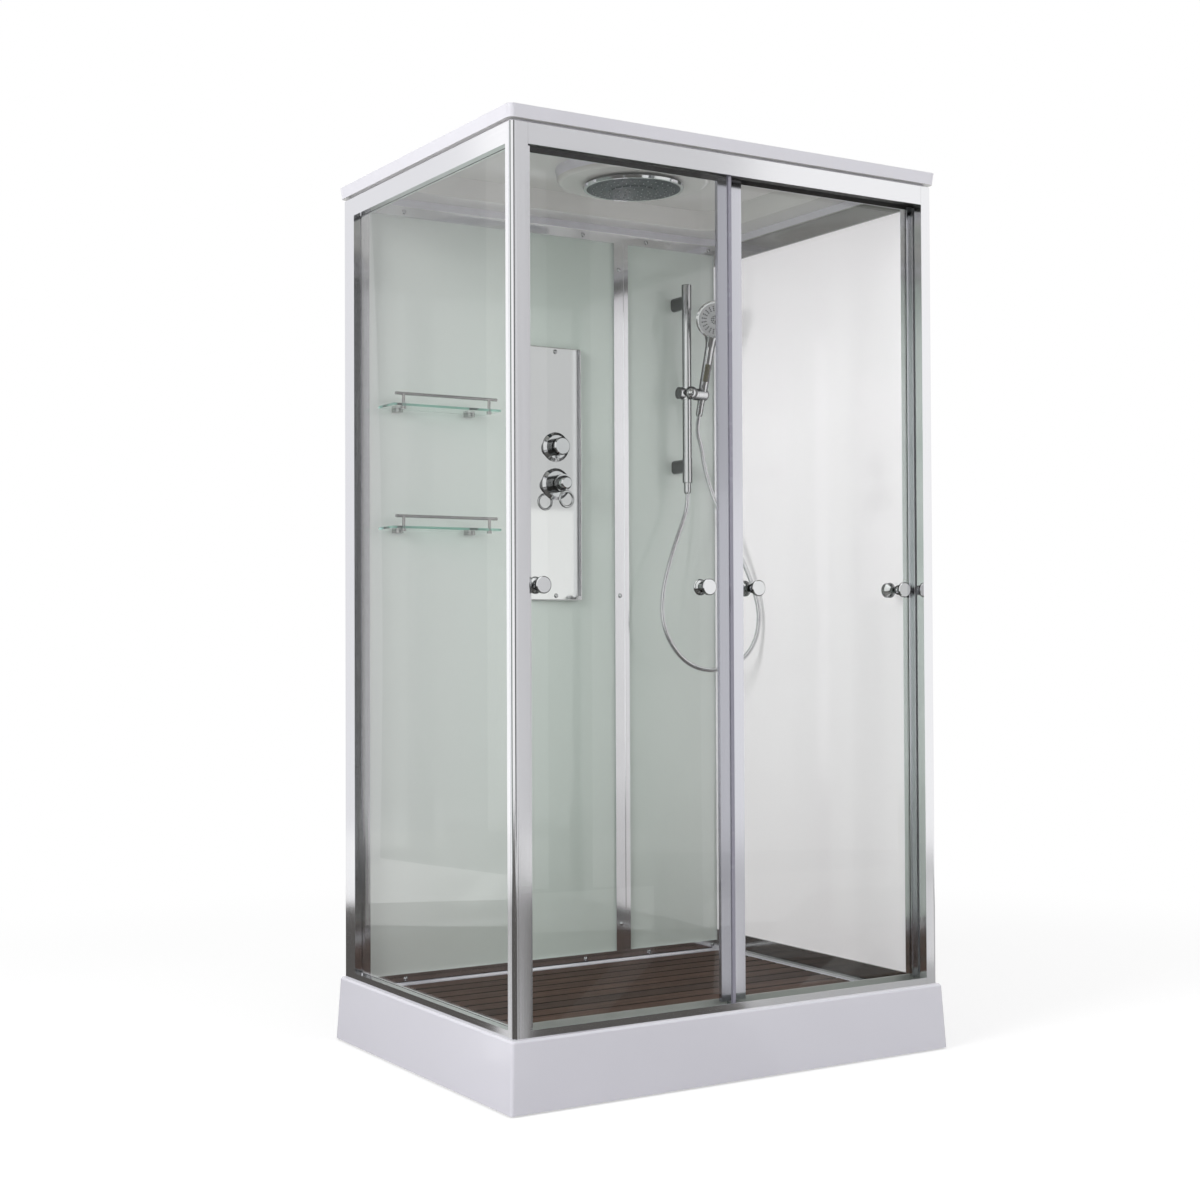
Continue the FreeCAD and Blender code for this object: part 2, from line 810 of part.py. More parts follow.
def nozzle(spot):
    """Six-sided tapered nozzle that points down."""
    rings = []
    for radius, drop in ((nozzle_radius, 0), (nozzle_radius * 0.7, 1.5 * nozzle_length)):
        corners = [math.radians(60 * k) for k in range(7)]
        ring = [spot + V(radius * math.cos(a), radius * math.sin(a), -drop) for a in corners]
        rings.append(Part.makePolygon(ring))
    return Part.makeLoft(rings, True, True)


def make_rain_stem():
    """Threaded inlet stem of the rain head with its lock nut on the roof."""
    low = rain_levels()[1] + rain_step + 2 * fit
    nut = drum_z + roof_wall
    thread = stem_radius - fit
    outline = [(0, low), (thread, low), (thread, nut), (stem_nut, nut), (stem_nut, nut + stem_nut_height),
               (thread, nut + stem_nut_height), (thread, nut + stem_height), (0, nut + stem_height)]
    return turned(outline, V(0, 0, 0), V(0, 0, 1))


def door_levels():
    """Bottom and top of the door glass, and of the stiles that show between the rails."""
    low = seat_height + track_base + door_bottom_gap
    high = frame_top - track_base - door_top_gap
    return low, high, rail_top - stile_tuck, rail_bottom + stile_tuck


def door_span(left):
    """Left and right edges of a closed door's glass."""
    x0, x1 = door_stops(left)
    if left:
        return x0 + edge_channel_width / 2, x1 - lap_strip_width / 2
    return x0 + lap_stile_width - door_lap, x1 - edge_stile_width / 2


def door_stops(left):
    """Outer edges of a closed door, seals left out."""
    if left:
        return left_post_x + seal_width, meeting_x + lap_strip_width / 2
    return meeting_x - lap_strip_width / 2 - stile_lead, frame_x - right_post_web - fit - seal_width


def knob_places(left):
    """X of a door's two knobs."""
    x0, x1 = door_stops(left)
    if left:
        return x0 + left_knob_edge, x1 - left_knob_lap
    return x0 + right_knob_lap, x1 - right_knob_edge


def hanger_places(left):
    """X of a door's two hangers."""
    x0, x1 = door_stops(left)
    return x0 + hanger_inset, x1 - hanger_inset


def roller_z():
    """Height of the roller axles."""
    return ledge_top + roller_radius + fit


def make_door_glass(left):
    """Tempered door pane with holes for its knobs and hangers."""
    low, high, _, _ = door_levels()
    x0, x1 = door_span(left)
    y = outer_glass_y if left else inner_glass_y
    pane = box(x0, x1, y - glass / 2, y + glass / 2, low, high)
    for x in knob_places(left):
        pane = pane.cut(rod(V(x, y - glass, knob_height), V(0, 1, 0), knob_bolt + fit, 2 * glass))
    for x in hanger_places(left):
        pane = pane.cut(rod(V(x, y - glass, roller_z()), V(0, 1, 0), axle_radius + fit, 2 * glass))
    return pane


def edge_profile(x0, x1, y, depth, z0, z1, open_right):
    """Aluminium profile pushed over the edge of a pane, with a slot for the glass."""
    body = box(x0, x1, y - depth / 2, y + depth / 2, z0, z1)
    slot = glass / 2 + fit
    width = (x1 - x0) / 2
    if open_right:
        return body.cut(box(x0 + width - fit, x1 + 1, y - slot, y + slot, z0 - 1, z1 + 1))
    return body.cut(box(x0 - 1, x1 - width + fit, y - slot, y + slot, z0 - 1, z1 + 1))


def make_left_edge_channel():
    """Narrow channel on the left door's edge beside the corner post."""
    _, _, low, high = door_levels()
    x0 = door_stops(True)[0]
    return edge_profile(x0, x0 + edge_channel_width, outer_glass_y, lap_strip_depth, low, high, True)


def make_left_lap_strip():
    """Slim strip on the left door's free edge, which laps the other door's stile."""
    high = door_levels()[3]
    x1 = door_stops(True)[1]
    return edge_profile(x1 - lap_strip_width, x1, outer_glass_y, lap_strip_depth, rail_top - strip_tuck, high,
                        False)


def make_right_lap_stile():
    """Wide stile on the right door's free edge, behind the left door's strip."""
    _, _, low, high = door_levels()
    x0 = door_stops(False)[0]
    y = inner_glass_y
    body = box(x0, x0 + lap_stile_width, y - stile_depth / 2, y + stile_depth / 2, low, high)
    slot = glass / 2 + fit
    start = door_span(False)[0] - fit
    return body.cut(box(start, x0 + lap_stile_width + 1, y - slot, y + slot, low - 1, high + 1))


def make_right_edge_stile():
    """Stile on the right door's closing edge."""
    _, _, low, high = door_levels()
    x1 = door_stops(False)[1]
    return edge_profile(x1 - edge_stile_width, x1, inner_glass_y, stile_depth, low, high, False)


def make_door_seal(left):
    """Soft bubble seal on the closing edge."""
    _, _, low, high = door_levels()
    y = outer_glass_y if left else inner_glass_y
    depth = glass
    if left:
        x1 = door_stops(True)[0]
        x0 = left_post_x + fit
    else:
        x0 = door_stops(False)[1]
        x1 = frame_x - right_post_web - 2 * fit
    return box(x0, x1, y - depth / 2, y + depth / 2, low, high)


def make_door_knobs(left):
    """Two double-sided knobs: the half that faces the other door is low, so that the doors pass."""
    y = outer_glass_y if left else inner_glass_y
    front = knob_long if left else knob_lap
    back = knob_low if left else knob_inner
    halves = []
    for x in knob_places(left):
        face = V(x, y, knob_height)
        halves.append(knob_half(face, V(0, -1, 0), front, True))
        halves.append(knob_half(face, V(0, 1, 0), back, False))
    return halves


def knob_half(centre, axis, length, bolt):
    """One half of a knob: a waisted neck with a wide, slightly domed face, and the bolt through the glass."""
    start = glass / 2
    end = start + length
    waist = knob_neck if length > knob_low else knob_radius - 2
    hole = 0 if bolt else knob_bolt + fit
    outline = [(hole, start), (knob_neck + 3, start), (waist, start + length * 0.3),
               (waist, start + length * 0.5), (knob_radius, start + length * 0.72),
               (knob_radius, end - 1.5), (knob_radius - 2, end)]
    if bolt:
        tip = -glass / 2 - knob_low * 0.6
        outline = [(0, tip), (knob_bolt, tip), (knob_bolt, start)] + outline[1:]
        return turned(outline + [(0, end)], centre, axis)
    inner = start + knob_low * 0.8
    return turned(outline + [(0, end), (0, inner), (hole, inner)], centre, axis)


def roller_side(left):
    """Y of a roller's face beside its glass, and the direction from glass to roller."""
    toward = 1 if left else -1
    y = outer_glass_y if left else inner_glass_y
    return y + toward * (door_pitch / 2 - ledge_reach + 2 * fit + 1.8), toward, y


def make_hangers(left):
    """Two hangers: a clamp disc on each side of the glass and the axle of the roller."""
    near, toward, y = roller_side(left)
    axis = V(0, toward, 0)
    hangers = []
    for x in hanger_places(left):
        centre = V(x, y, roller_z())
        reach = abs(near - y)
        outline = [(0, glass / 2), (axle_radius, glass / 2), (axle_radius, -glass / 2),
                   (hub_radius, -glass / 2), (hub_radius, -glass / 2 - 3), (0, -glass / 2 - 3)]
        front = turned(outline, centre, axis)
        outline = [(0, glass / 2), (hub_radius, glass / 2), (hub_radius, reach - fit),
                   (axle_radius, reach - fit), (axle_radius, reach + roller_width + 0.5),
                   (0, reach + roller_width + 0.5)]
        hangers.append(front.fuse(turned(outline, centre, axis)))
    return hangers


def make_roller(left, x):
    """Grooveless nylon roller on its axle."""
    near, toward, _ = roller_side(left)
    axis = V(0, toward, 0)
    bore = axle_radius + bearing
    outline = [(bore, 0), (roller_radius - 1, 0), (roller_radius, 1), (roller_radius, roller_width - 1),
               (roller_radius - 1, roller_width), (bore, roller_width)]
    return turned(outline, V(x, near, roller_z()), axis)


def make_door_guides(left):
    """Black guide blocks under the door's bottom corners, which run in a groove of the threshold."""
    half_web = track_web / 2
    half_track = track_depth / 2
    x0, x1 = door_span(left)
    y = outer_glass_y if left else inner_glass_y
    edges = (track_y - half_track + track_wall, track_y - half_web)
    if not left:
        edges = (track_y + half_web, track_y + half_track - track_wall)
    low = seat_height + track_base + 2 * guide_slack
    bottom = door_levels()[0]
    blocks = []
    for start in (x0 + guide_length / 2, x1 - 1.5 * guide_length):
        end = start + guide_length
        block = box(start, end, edges[0] + guide_slack, edges[1] - guide_slack, low, low + guide_height)
        slot = box(start - 1, end + 1, y - glass / 2 - fit, y + glass / 2 + fit, bottom - fit, rail_top)
        blocks.append(block.cut(slot))
    return blocks


def panel_block(inset, front, back):
    """Upright block with round corners in the control panel's outline."""
    half_x = panel_width / 2 - inset
    half_z = panel_height / 2 - inset
    outline = round_rectangle(half_x, half_z, 0, panel_corner - inset)
    block = Part.Face(outline).extrude(V(0, 0, back - front))
    block.rotate(V(0, 0, 0), V(1, 0, 0), 90)
    block.translate(V(panel_x, back, panel_z))
    return block


def make_control_panel():
    """Folded mirror sheet on the back wall, open at the back, with holes for the two spindles."""
    sheet = panel_block(0, panel_face_y, wall_y)
    front = [edge for edge in sheet.Edges if edge.BoundBox.YMax < panel_face_y + 1]
    sheet = sheet.makeFillet(panel_round, front)
    sheet = sheet.cut(panel_block(panel_sheet, panel_face_y + panel_sheet, wall_y + 1))
    for z in (diverter_z, mixer_z):
        start = V(panel_x, panel_face_y - 1, z)
        sheet = sheet.cut(rod(start, V(0, 1, 0), 2 * spindle_radius, 2 * panel_depth))
    return sheet


def make_valve():
    """Valve block behind the wall: two spindles to the front, hot and cold inlet nipples to the back."""
    back = wall_y + glass
    z0 = mixer_z - valve_width / 2
    z1 = diverter_z + valve_width / 2
    block = box(panel_x - valve_width / 2, panel_x + valve_width / 2, back, back + valve_depth, z0, z1)
    for z in (diverter_z, mixer_z):
        start = V(panel_x, panel_face_y - spindle_reach, z)
        block = block.fuse(rod(start, V(0, 1, 0), spindle_radius, back + 1 - start.y))
    for x in (-inlet_spread, inlet_spread):
        start = V(panel_x + x, back + valve_depth - 1, mixer_z)
        block = block.fuse(rod(start, V(0, 1, 0), inlet_radius, inlet_length + 1))
    return block


def make_escutcheons():
    """Two chrome cover plates on the panel, round the spindles."""
    plates = []
    for z, radius in ((diverter_z, diverter_plate), (mixer_z, mixer_plate)):
        bore = 2 * spindle_radius
        outline = [(bore, 0), (radius, 0), (radius, plate_thick / 3), (radius - plate_thick, plate_thick),
                   (bore, plate_thick)]
        plates.append(turned(outline, V(panel_x, panel_face_y, z), V(0, -1, 0)))
    return plates


def make_diverter():
    """Turning knob of the outlet selector, with a small peg as its pointer."""
    start = plate_thick + fit
    end = start + diverter_length
    bore = spindle_radius + bearing
    depth = spindle_reach + 1
    outline = [(bore, start), (diverter_radius, start), (diverter_radius, end - 3),
               (diverter_radius - 3, end), (0, end), (0, depth), (bore, depth)]
    centre = V(panel_x, panel_face_y, diverter_z)
    knob = turned(outline, centre, V(0, -1, 0))
    root = centre + V(0, -start - 2 * peg_radius, -diverter_radius + 1)
    peg = rod(root, V(0, 0, -1), peg_radius, peg_length + 1)
    return knob.fuse(peg)


def mixer_ball():
    """Centre of the ball on which the mixer's lever tilts."""
    return V(panel_x, panel_face_y - ball_reach, mixer_z)


def make_mixer_collar():
    """Turning collar of the mixer, with a round socket for the lever's ball."""
    start = plate_thick + fit
    bore = spindle_radius + bearing
    depth = spindle_reach + 1
    end = ball_reach - collar_back
    outline = [(bore, start), (collar_radius, start), (collar_radius, end), (0, end), (0, depth),
               (bore, depth)]
    collar = turned(outline, V(panel_x, panel_face_y, mixer_z), V(0, -1, 0))
    return collar.cut(Part.makeSphere(ball_radius + fit, mixer_ball()))


def make_mixer_handle():
    """Ball knob with a flat front and a ring lever below it."""
    centre = mixer_ball()
    flat = V(centre.x, centre.y - ball_flat, centre.z)
    ball = Part.makeSphere(ball_radius, centre).cut(rod(flat, V(0, -1, 0), ball_radius, ball_radius))
    forward = centre.y - ball_radius / 2
    hub = V(centre.x, forward, centre.z - lever_drop)
    ring = Part.makeTorus(lever_ring, lever_wire, hub, V(0, 1, 0))
    neck = rod(V(centre.x, forward, centre.z - ball_radius / 2), V(0, 0, -1), lever_wire,
               lever_drop - lever_ring - ball_radius / 2)
    return ball.fuse(neck).fuse(ring)


def make_slide_bar():
    """Riser bar with a sleeve at each end and the union nut of the hose below."""
    up = V(0, 0, 1)
    foot = V(bar_x, bar_y, bar_bottom)
    length = bar_length
    high = length - sleeve_length
    outline = [(0, 0), (sleeve_radius - 1, 0), (sleeve_radius, 1), (sleeve_radius, sleeve_length),
               (bar_radius, sleeve_length), (bar_radius, high), (sleeve_radius, high),
               (sleeve_radius, length - 1), (sleeve_radius - 1, length), (0, length)]
    end = -hose_nut_length
    nut = [(hose_bore, end), (hose_nut_radius - 2, end), (hose_nut_radius, end + 4), (hose_nut_radius, 0),
           (hose_bore, 0)]
    return [turned(outline, foot, up), turned(nut, foot, up)]


def make_brackets():
    """Two oval wall brackets of the bar."""
    brackets = []
    half = bracket_height / 2 - bracket_width / 2
    for z in (bar_bottom + bracket_inset, bar_top - bracket_inset):
        start = V(bar_x, bar_y, z)
        run = V(0, wall_y - bar_y, 0)
        core = box(bar_x - bracket_width / 2, bar_x + bracket_width / 2, bar_y, wall_y, z - half, z + half)
        for s in (-half, half):
            core = core.fuse(rod(start + V(0, 0, s), V(0, 1, 0), bracket_width / 2, run.y))
        bore = rod(start - V(0, 0, bracket_height), V(0, 0, 1), sleeve_radius, 2 * bracket_height)
        brackets.append(core.cut(bore))
    return brackets


def make_slider():
    """Sliding body on the bar with a cross barrel for the holder."""
    low = slider_z - slider_height / 2
    body = rod(V(bar_x, bar_y, low), V(0, 0, 1), slider_radius, slider_height)
    barrel_start = V(bar_x - barrel_left, bar_y, slider_z)
    barrel = rod(barrel_start, V(1, 0, 0), barrel_radius, barrel_left + barrel_right)
    front = rod(V(bar_x, bar_y, slider_z), V(0, -1, 0), clamp_neck, slider_radius + clamp_neck_length)
    bore = rod(V(bar_x, bar_y, low - 1), V(0, 0, 1), bar_radius + bearing, slider_height + 2)
    return body.fuse(barrel).fuse(front).cut(bore)


def make_clamp_knob():
    """Ball-shaped clamp knob on the front of the slider."""
    forward = V(0, -1, 0)
    base = V(bar_x, bar_y - slider_radius - clamp_neck_length - fit, slider_z)
    collar = rod(base, forward, clamp_knob_radius, clamp_knob_collar)
    middle = base + forward * clamp_knob_collar
    return collar.fuse(Part.makeSphere(clamp_knob_radius, middle, forward, 0, 90, 360))


def handset_place(shape, twist=0.0):
    """Twist and lean a shape made upright at the origin and put it in the holder."""
    shape.rotate(V(0, 0, 0), V(0, 0, 1), -twist)
    shape.rotate(V(0, 0, 0), V(1, 0, 0), handset_lean)
    shape.translate(V(bar_x + handset_reach, bar_y, slider_z))
    return shape


def make_holder():
    """Tilting holder: a round arm in line with the slider's barrel, bored for the hand shower's handle."""
    half = socket_height / 2
    inner = handle_radius + fit
    start = barrel_right + fit - handset_reach
    end = inner + socket_wall
    arm = rod(V(start, 0, 0), V(1, 0, 0), barrel_radius, end - start)
    tip = [edge for edge in arm.Edges if edge.BoundBox.XMin > end - 1]
    bore = turned([(0, -half), (inner - 1, -half), (inner + 1, half), (0, half)], V(0, 0, 0), V(0, 0, 1))
    return handset_place(arm.makeFillet(arm_round, tip).cut(bore))


def make_handset_body():
    """Hand shower: tapered handle, a neck that flares into the round head, and the hose nut below."""
    up = V(0, 0, 1)
    half = socket_height / 2
    outline = [(0, -handle_below), (handle_radius - 2, -handle_below), (handle_radius - 1, -half),
               (handle_radius + 1, half), (handle_radius + 1.6, handle_length * 0.5),
               (handle_radius + 2, neck_start), (handle_radius + neck_flare / 2, (neck_start + neck_end) / 2),
               (handle_radius + neck_flare, neck_end), (handle_radius + neck_flare, handle_length),
               (0, handle_length)]
    handle = turned(outline, V(0, 0, 0), up)
    forward = V(0, -1, 0)
    shell = [(0, -head_thick * 0.55), (head_radius * 0.6, -head_thick * 0.45),
             (head_radius * 0.9, -head_thick * 0.2), (head_radius, head_thick * 0.1),
             (head_radius, head_thick * 0.4),
             (head_radius - head_bevel, head_thick * 0.5), (0, head_thick * 0.5)]
    head = turned(shell, V(0, 0, head_rise), forward)
    pocket = rod(V(0, -head_thick * face_level, head_rise), forward, face_radius + selector_width + fit,
                 head_thick)
    nut_end = -handle_below - handset_nut_length
    nut = turned([(hose_bore, nut_end), (hose_nut_radius - 2, nut_end), (hose_nut_radius, nut_end + 6),
                  (hose_nut_radius, -handle_below), (hose_bore, -handle_below)], V(0, 0, 0), up)
    return [handset_place(handle.fuse(head).cut(pocket), handset_twist), handset_place(nut)]


def make_handset_face():
    """Grey spray face of the hand shower, slightly domed."""
    back = head_thick * face_level
    outline = [(0, back), (face_radius, back), (face_radius, head_thick * 0.5),
               (face_radius * 0.6, head_thick * 0.57), (0, head_thick * 0.6)]
    return handset_place(turned(outline, V(0, 0, head_rise), V(0, -1, 0)), handset_twist)


def make_selector():
    """Spray selector ring round the face, with a tab at its left side."""
    inner = face_radius + fit
    outer = face_radius + selector_width
    low = head_thick * face_level + fit
    ring = turned([(inner, low), (outer, low), (outer, head_thick * 0.55), (inner, head_thick * 0.55)],
                  V(0, 0, head_rise), V(0, -1, 0))
    y0 = -head_thick * 0.55 - 2
    half = selector_tab_width / 2
    tab = box(-head_radius - selector_tab_reach, -inner - 1, y0, -head_thick * 0.5 - fit,
              head_rise - half, head_rise + half)
    return handset_place(ring.fuse(tab), handset_twist)


# The hose hangs from the bar's nut, loops low and forward past the right wall and climbs to the handset.
# Its points are measured from the foot of the bar.
hose_route = [(-1, 0, -65), (-16, -1, -105), (-44, -5, -165), (-71, -10, -231), (-91, -15, -293),
              (-100, -21, -347), (-98, -27, -391), (-82, -35, -438), (-48, -46, -484), (-6, -61, -508),
              (47, -82, -512), (109, -109, -482), (139, -122, -430), (148, -126, -376),
              (147, -119, -323), (137, -85, -237), (122, -40, -153), (103, -1, -72), (88, 20, -7),
              (74, 28, 57), (66, 27, 103)]


def hose_points():
    """The hand-chosen route between the two nuts."""
    lean = math.radians(handset_lean)
    along = V(0, -math.sin(lean), math.cos(lean))
    end = V(bar_x + handset_reach, bar_y, slider_z) - along * (handle_below + handset_nut_length + fit)
    start = V(bar_x, bar_y, bar_bottom - hose_nut_length - fit)
    foot = V(bar_x, bar_y, bar_bottom)
    return [start] + [foot + V(*p) for p in hose_route] + [end - along * hose_straight, end]


def make_hose():
    """Metal hose as a tube along straight runs joined by tangent arcs."""
    points = hose_points()
    edges = []
    last = points[0]
    for before, corner, after in zip(points, points[1:], points[2:]):
        back = before - corner
        ahead = after - corner
        turn = math.pi - back.getAngle(ahead)
        cut = 0.45 * min(back.Length, ahead.Length)
        radius = cut / math.tan(turn / 2)
        back.normalize()
        ahead.normalize()
        inward = back + ahead
        inward.normalize()
        middle = corner + inward * (radius / math.cos(turn / 2) - radius)
        edges.append(Part.LineSegment(last, corner + back * cut).toShape())
        edges.append(Part.Arc(corner + back * cut, middle, corner + ahead * cut).toShape())
        last = corner + ahead * cut
    edges.append(Part.LineSegment(last, points[-1]).toShape())
    path = Part.Wire(edges)

    def tube_of(radius):
        section = Part.Wire(Part.makeCircle(radius, points[0], points[1] - points[0]))
        return path.makePipeShell([section], True, False)

    hose = tube_of(hose_radius).cut(tube_of(hose_bore))
    ideal = math.pi * (hose_radius ** 2 - hose_bore ** 2) * path.Length
    print("hose length %.0f mm, volume %.0f of %.0f mm3" % (path.Length, hose.Volume, ideal))
    return hose


def guard_spots():
    """Where the two posts of a guard rail go through a shelf."""
    half = guard_share * shelf_width / 2
    y = wall_y - fit - shelf_depth + 2 * guard_radius
    return [(shelf_x - half, y), (shelf_x + half, y)]


def make_shelf_plates():
    """Two glass shelves, each bored for the posts of its guard rail."""
    x0 = shelf_x - shelf_width / 2
    back = wall_y - fit
    plates = []
    for z in shelf_heights:
        plate = box(x0, x0 + shelf_width, back - shelf_depth, back, z - shelf_thick, z)
        for x, y in guard_spots():
            plate = plate.cut(rod(V(x, y, z - shelf_thick - 1), V(0, 0, 1), guard_pin + fit, shelf_thick + 2))
        plates.append(plate)
    return plates


def make_shelf_clamp(x, z):
    """Low wall clamp with a round front that grips a shelf between two jaws."""
    low = z - shelf_thick - clamp_below
    height = clamp_below + shelf_thick + clamp_above
    half = clamp_width / 2
    middle = wall_y - clamp_depth + half
    clamp = box(x - half, x + half, middle, wall_y, low, low + height)
    clamp = clamp.fuse(rod(V(x, middle, low), V(0, 0, 1), half, height))
    front = wall_y - 2 * clamp_depth
    return clamp.cut(box(x - clamp_width, x + clamp_width, front, wall_y - fit, z - shelf_thick, z))


def make_guard_rail(z):
    """Guard rail on two posts, each pinned through the shelf and held by a round nut."""
    up = V(0, 0, 1)
    spots = guard_spots()
    left, y = spots[0]
    length = spots[1][0] - left + 2 * guard_overrun
    rail = rod(V(left - guard_overrun, y, z + guard_height), V(1, 0, 0), guard_radius, length)
    foot = z - shelf_thick - guard_nut_height
    for x, y in spots:
        rail = rail.fuse(rod(V(x, y, z), up, guard_radius, guard_height))
        rail = rail.fuse(rod(V(x, y, foot), up, guard_pin, z - foot))
        rail = rail.fuse(rod(V(x, y, foot), up, guard_nut_radius, guard_nut_height - fit))
    return rail


def make_shelf_fittings():
    """Wall clamps and guard rails of the shelves."""
    reach = clamp_share * shelf_width / 2
    fittings = []
    for z in shelf_heights:
        fittings += [make_shelf_clamp(x, z) for x in (shelf_x - reach, shelf_x + reach)]
        fittings.append(make_guard_rail(z))
    return fittings


def dome(spot, axis):
    """Domed screw head."""
    outline = [(0, 0), (screw_radius, 0), (screw_radius * 0.8, screw_dome * 0.6),
               (screw_radius * 0.4, screw_dome * 0.92), (0, screw_dome)]
    return turned(outline, spot, axis)


def make_screws():
    """Domed screws that fix the wall profiles and the control panel."""
    toward = V(0, -1, 0)
    rail_y = frame_y - back_rail_depth
    flange_x = frame_x - back_post_width + 2 * groove_depth
    face_x = mullion_x - mullion_width / 2 + mullion_line / 2
    spots = []
    low = seat_height + 4 * back_rail_height
    high = frame_top - 4 * back_rail_height
    for z in (low, (low + high) / 2, high):
        spots.append(V(face_x, wall_y - mullion_proud, z))
        spots.append(V(-flange_x, rail_y, z))
        spots.append(V(flange_x, rail_y, z))
    for x in [share * frame_x for share in rail_screw_shares]:
        spots.append(V(x, rail_y, seat_height + back_rail_height / 2))
        spots.append(V(x, rail_y, frame_top - back_rail_height / 2))
    for side in (-1, 1):
        spots.append(V(panel_x, panel_face_y, panel_z + side * (panel_height / 2 - 2 * screw_radius)))
    return [dome(spot, toward) for spot in spots]


os.makedirs("parts", exist_ok=True)

write("shower_tray", make_tray())
write("base_frame", make_base_frame())
write("levelling_feet", make_feet())
write("drain_waste", make_waste())
write("drain_trap", make_trap())
write("duckboard_slats", make_slats())
write("duckboard_battens", make_battens())
write("front_left_post", make_front_left_post())
write("front_right_post", make_front_right_post())
write("back_left_post", make_back_post(-1))
write("back_right_post", make_back_post(1))
write("left_rails", make_side_rails(-1))
write("right_rails", make_side_rails(1))
write("back_rails", make_back_rails())
write("front_bottom_rail", make_front_bottom_rail())
write("front_top_rail", make_front_top_rail())
write("back_mullion", make_mullion())
write("left_glass", make_side_panel(-1))
write("right_panel", make_side_panel(1))
write("back_panel_left", make_back_panel(True))
write("back_panel_right", make_back_panel(False))
write("domed_screws", make_screws())
write("roof_cover", make_roof())
write("rain_head_body", [make_rain_body(), make_rain_stem()])
write("rain_head_face", make_rain_face())
for door, left in (("left_door", True), ("right_door", False)):
    write(door + "_glass", make_door_glass(left))
    write(door + "_seal", make_door_seal(left))
    write(door + "_knobs", make_door_knobs(left))
    write(door + "_hangers", make_hangers(left))
    write(door + "_guides", make_door_guides(left))
    for number, x in enumerate(hanger_places(left), 1):
        write(door + "_roller_%d" % number, make_roller(left, x))
write("left_door_edge_channel", make_left_edge_channel())
write("left_door_lap_strip", make_left_lap_strip())
write("right_door_lap_stile", make_right_lap_stile())
write("right_door_edge_stile", make_right_edge_stile())
write("control_panel", make_control_panel())
write("valve_body", make_valve())
write("control_escutcheons", make_escutcheons())
write("diverter_knob", make_diverter())
write("mixer_collar", make_mixer_collar())
write("mixer_handle", make_mixer_handle())
write("slide_bar", make_slide_bar())
write("bar_brackets", make_brackets())
write("slider", make_slider())
write("slider_clamp_knob", make_clamp_knob())
write("handset_holder", make_holder())
write("handset_body", make_handset_body())
write("handset_face", make_handset_face())
write("handset_selector", make_selector())
write("shower_hose", make_hose())
write("shelf_plates", make_shelf_plates())
write("shelf_fittings", make_shelf_fittings())
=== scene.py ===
import math

import bpy
from mathutils import Euler, Matrix, Vector


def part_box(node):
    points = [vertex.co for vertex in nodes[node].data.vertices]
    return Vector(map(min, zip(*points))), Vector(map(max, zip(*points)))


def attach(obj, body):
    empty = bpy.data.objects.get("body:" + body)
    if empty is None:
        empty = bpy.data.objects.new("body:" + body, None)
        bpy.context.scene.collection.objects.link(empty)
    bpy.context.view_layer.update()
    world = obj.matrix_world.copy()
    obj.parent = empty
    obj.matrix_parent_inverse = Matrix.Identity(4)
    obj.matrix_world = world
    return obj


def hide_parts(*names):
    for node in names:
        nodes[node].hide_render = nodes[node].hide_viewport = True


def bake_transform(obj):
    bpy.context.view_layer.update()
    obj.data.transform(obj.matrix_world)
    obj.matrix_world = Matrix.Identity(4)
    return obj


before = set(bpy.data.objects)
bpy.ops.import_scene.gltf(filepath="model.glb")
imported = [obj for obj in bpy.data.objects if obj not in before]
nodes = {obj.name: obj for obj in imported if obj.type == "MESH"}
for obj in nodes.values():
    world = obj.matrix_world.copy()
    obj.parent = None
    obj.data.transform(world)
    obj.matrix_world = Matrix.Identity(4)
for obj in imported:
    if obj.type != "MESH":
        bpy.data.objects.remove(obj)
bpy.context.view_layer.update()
bpy.ops.object.select_all(action="DESELECT")
bpy.context.scene.view_settings.view_transform = "Standard"


# Tray and roof: vacuum-formed sheets of glossy white acrylic with a faint lilac cast.
# The tray's skirt hides a tube frame; the roof's fascia rests on the top rails.
# The roof's underside, which is the ceiling, is painted a darker warm grey: painted shade, since little light
# reaches it.
def node_group(name, inputs, outputs):
    """Empty shader group with named sockets."""
    group = bpy.data.node_groups.new(name, "ShaderNodeTree")
    for label, kind in inputs:
        group.interface.new_socket(label, in_out="INPUT", socket_type=kind)
    for label, kind in outputs:
        group.interface.new_socket(label, in_out="OUTPUT", socket_type=kind)
    return group, group.nodes.new("NodeGroupInput"), group.nodes.new("NodeGroupOutput")


def feed(tree, value, socket):
    """Give a socket a plain number, or the value of another socket."""
    if isinstance(value, (int, float)):
        socket.default_value = value
    else:
        tree.links.new(value, socket)


def calc(tree, operation, *values):
    """Math node on sockets or plain numbers."""
    step = tree.nodes.new("ShaderNodeMath")
    step.operation = operation
    for entry, value in zip(step.inputs, values):
        feed(tree, value, entry)
    return step.outputs["Value"]


def spread(tree, value, low, high, start=0.0, end=1.0):
    """Map a value that runs from start to end to the range low to high."""
    stretch = tree.nodes.new("ShaderNodeMapRange")
    ends = {"Value": value, "From Min": start, "From Max": end, "To Min": low, "To Max": high}
    for label, level in ends.items():
        feed(tree, level, stretch.inputs[label])
    return stretch.outputs["Result"]


def shade_colour(tree, factor, color, tone):
    """Multiply a colour by a tone, by as much as a factor says."""
    dim = tree.nodes.new("ShaderNodeMix")
    dim.data_type = "RGBA"
    dim.blend_type = "MULTIPLY"
    feed(tree, factor, dim.inputs["Factor"])
    tree.links.new(color, dim.inputs["A"])
    tree.links.new(tone, dim.inputs["B"])
    return dim.outputs["Result"]


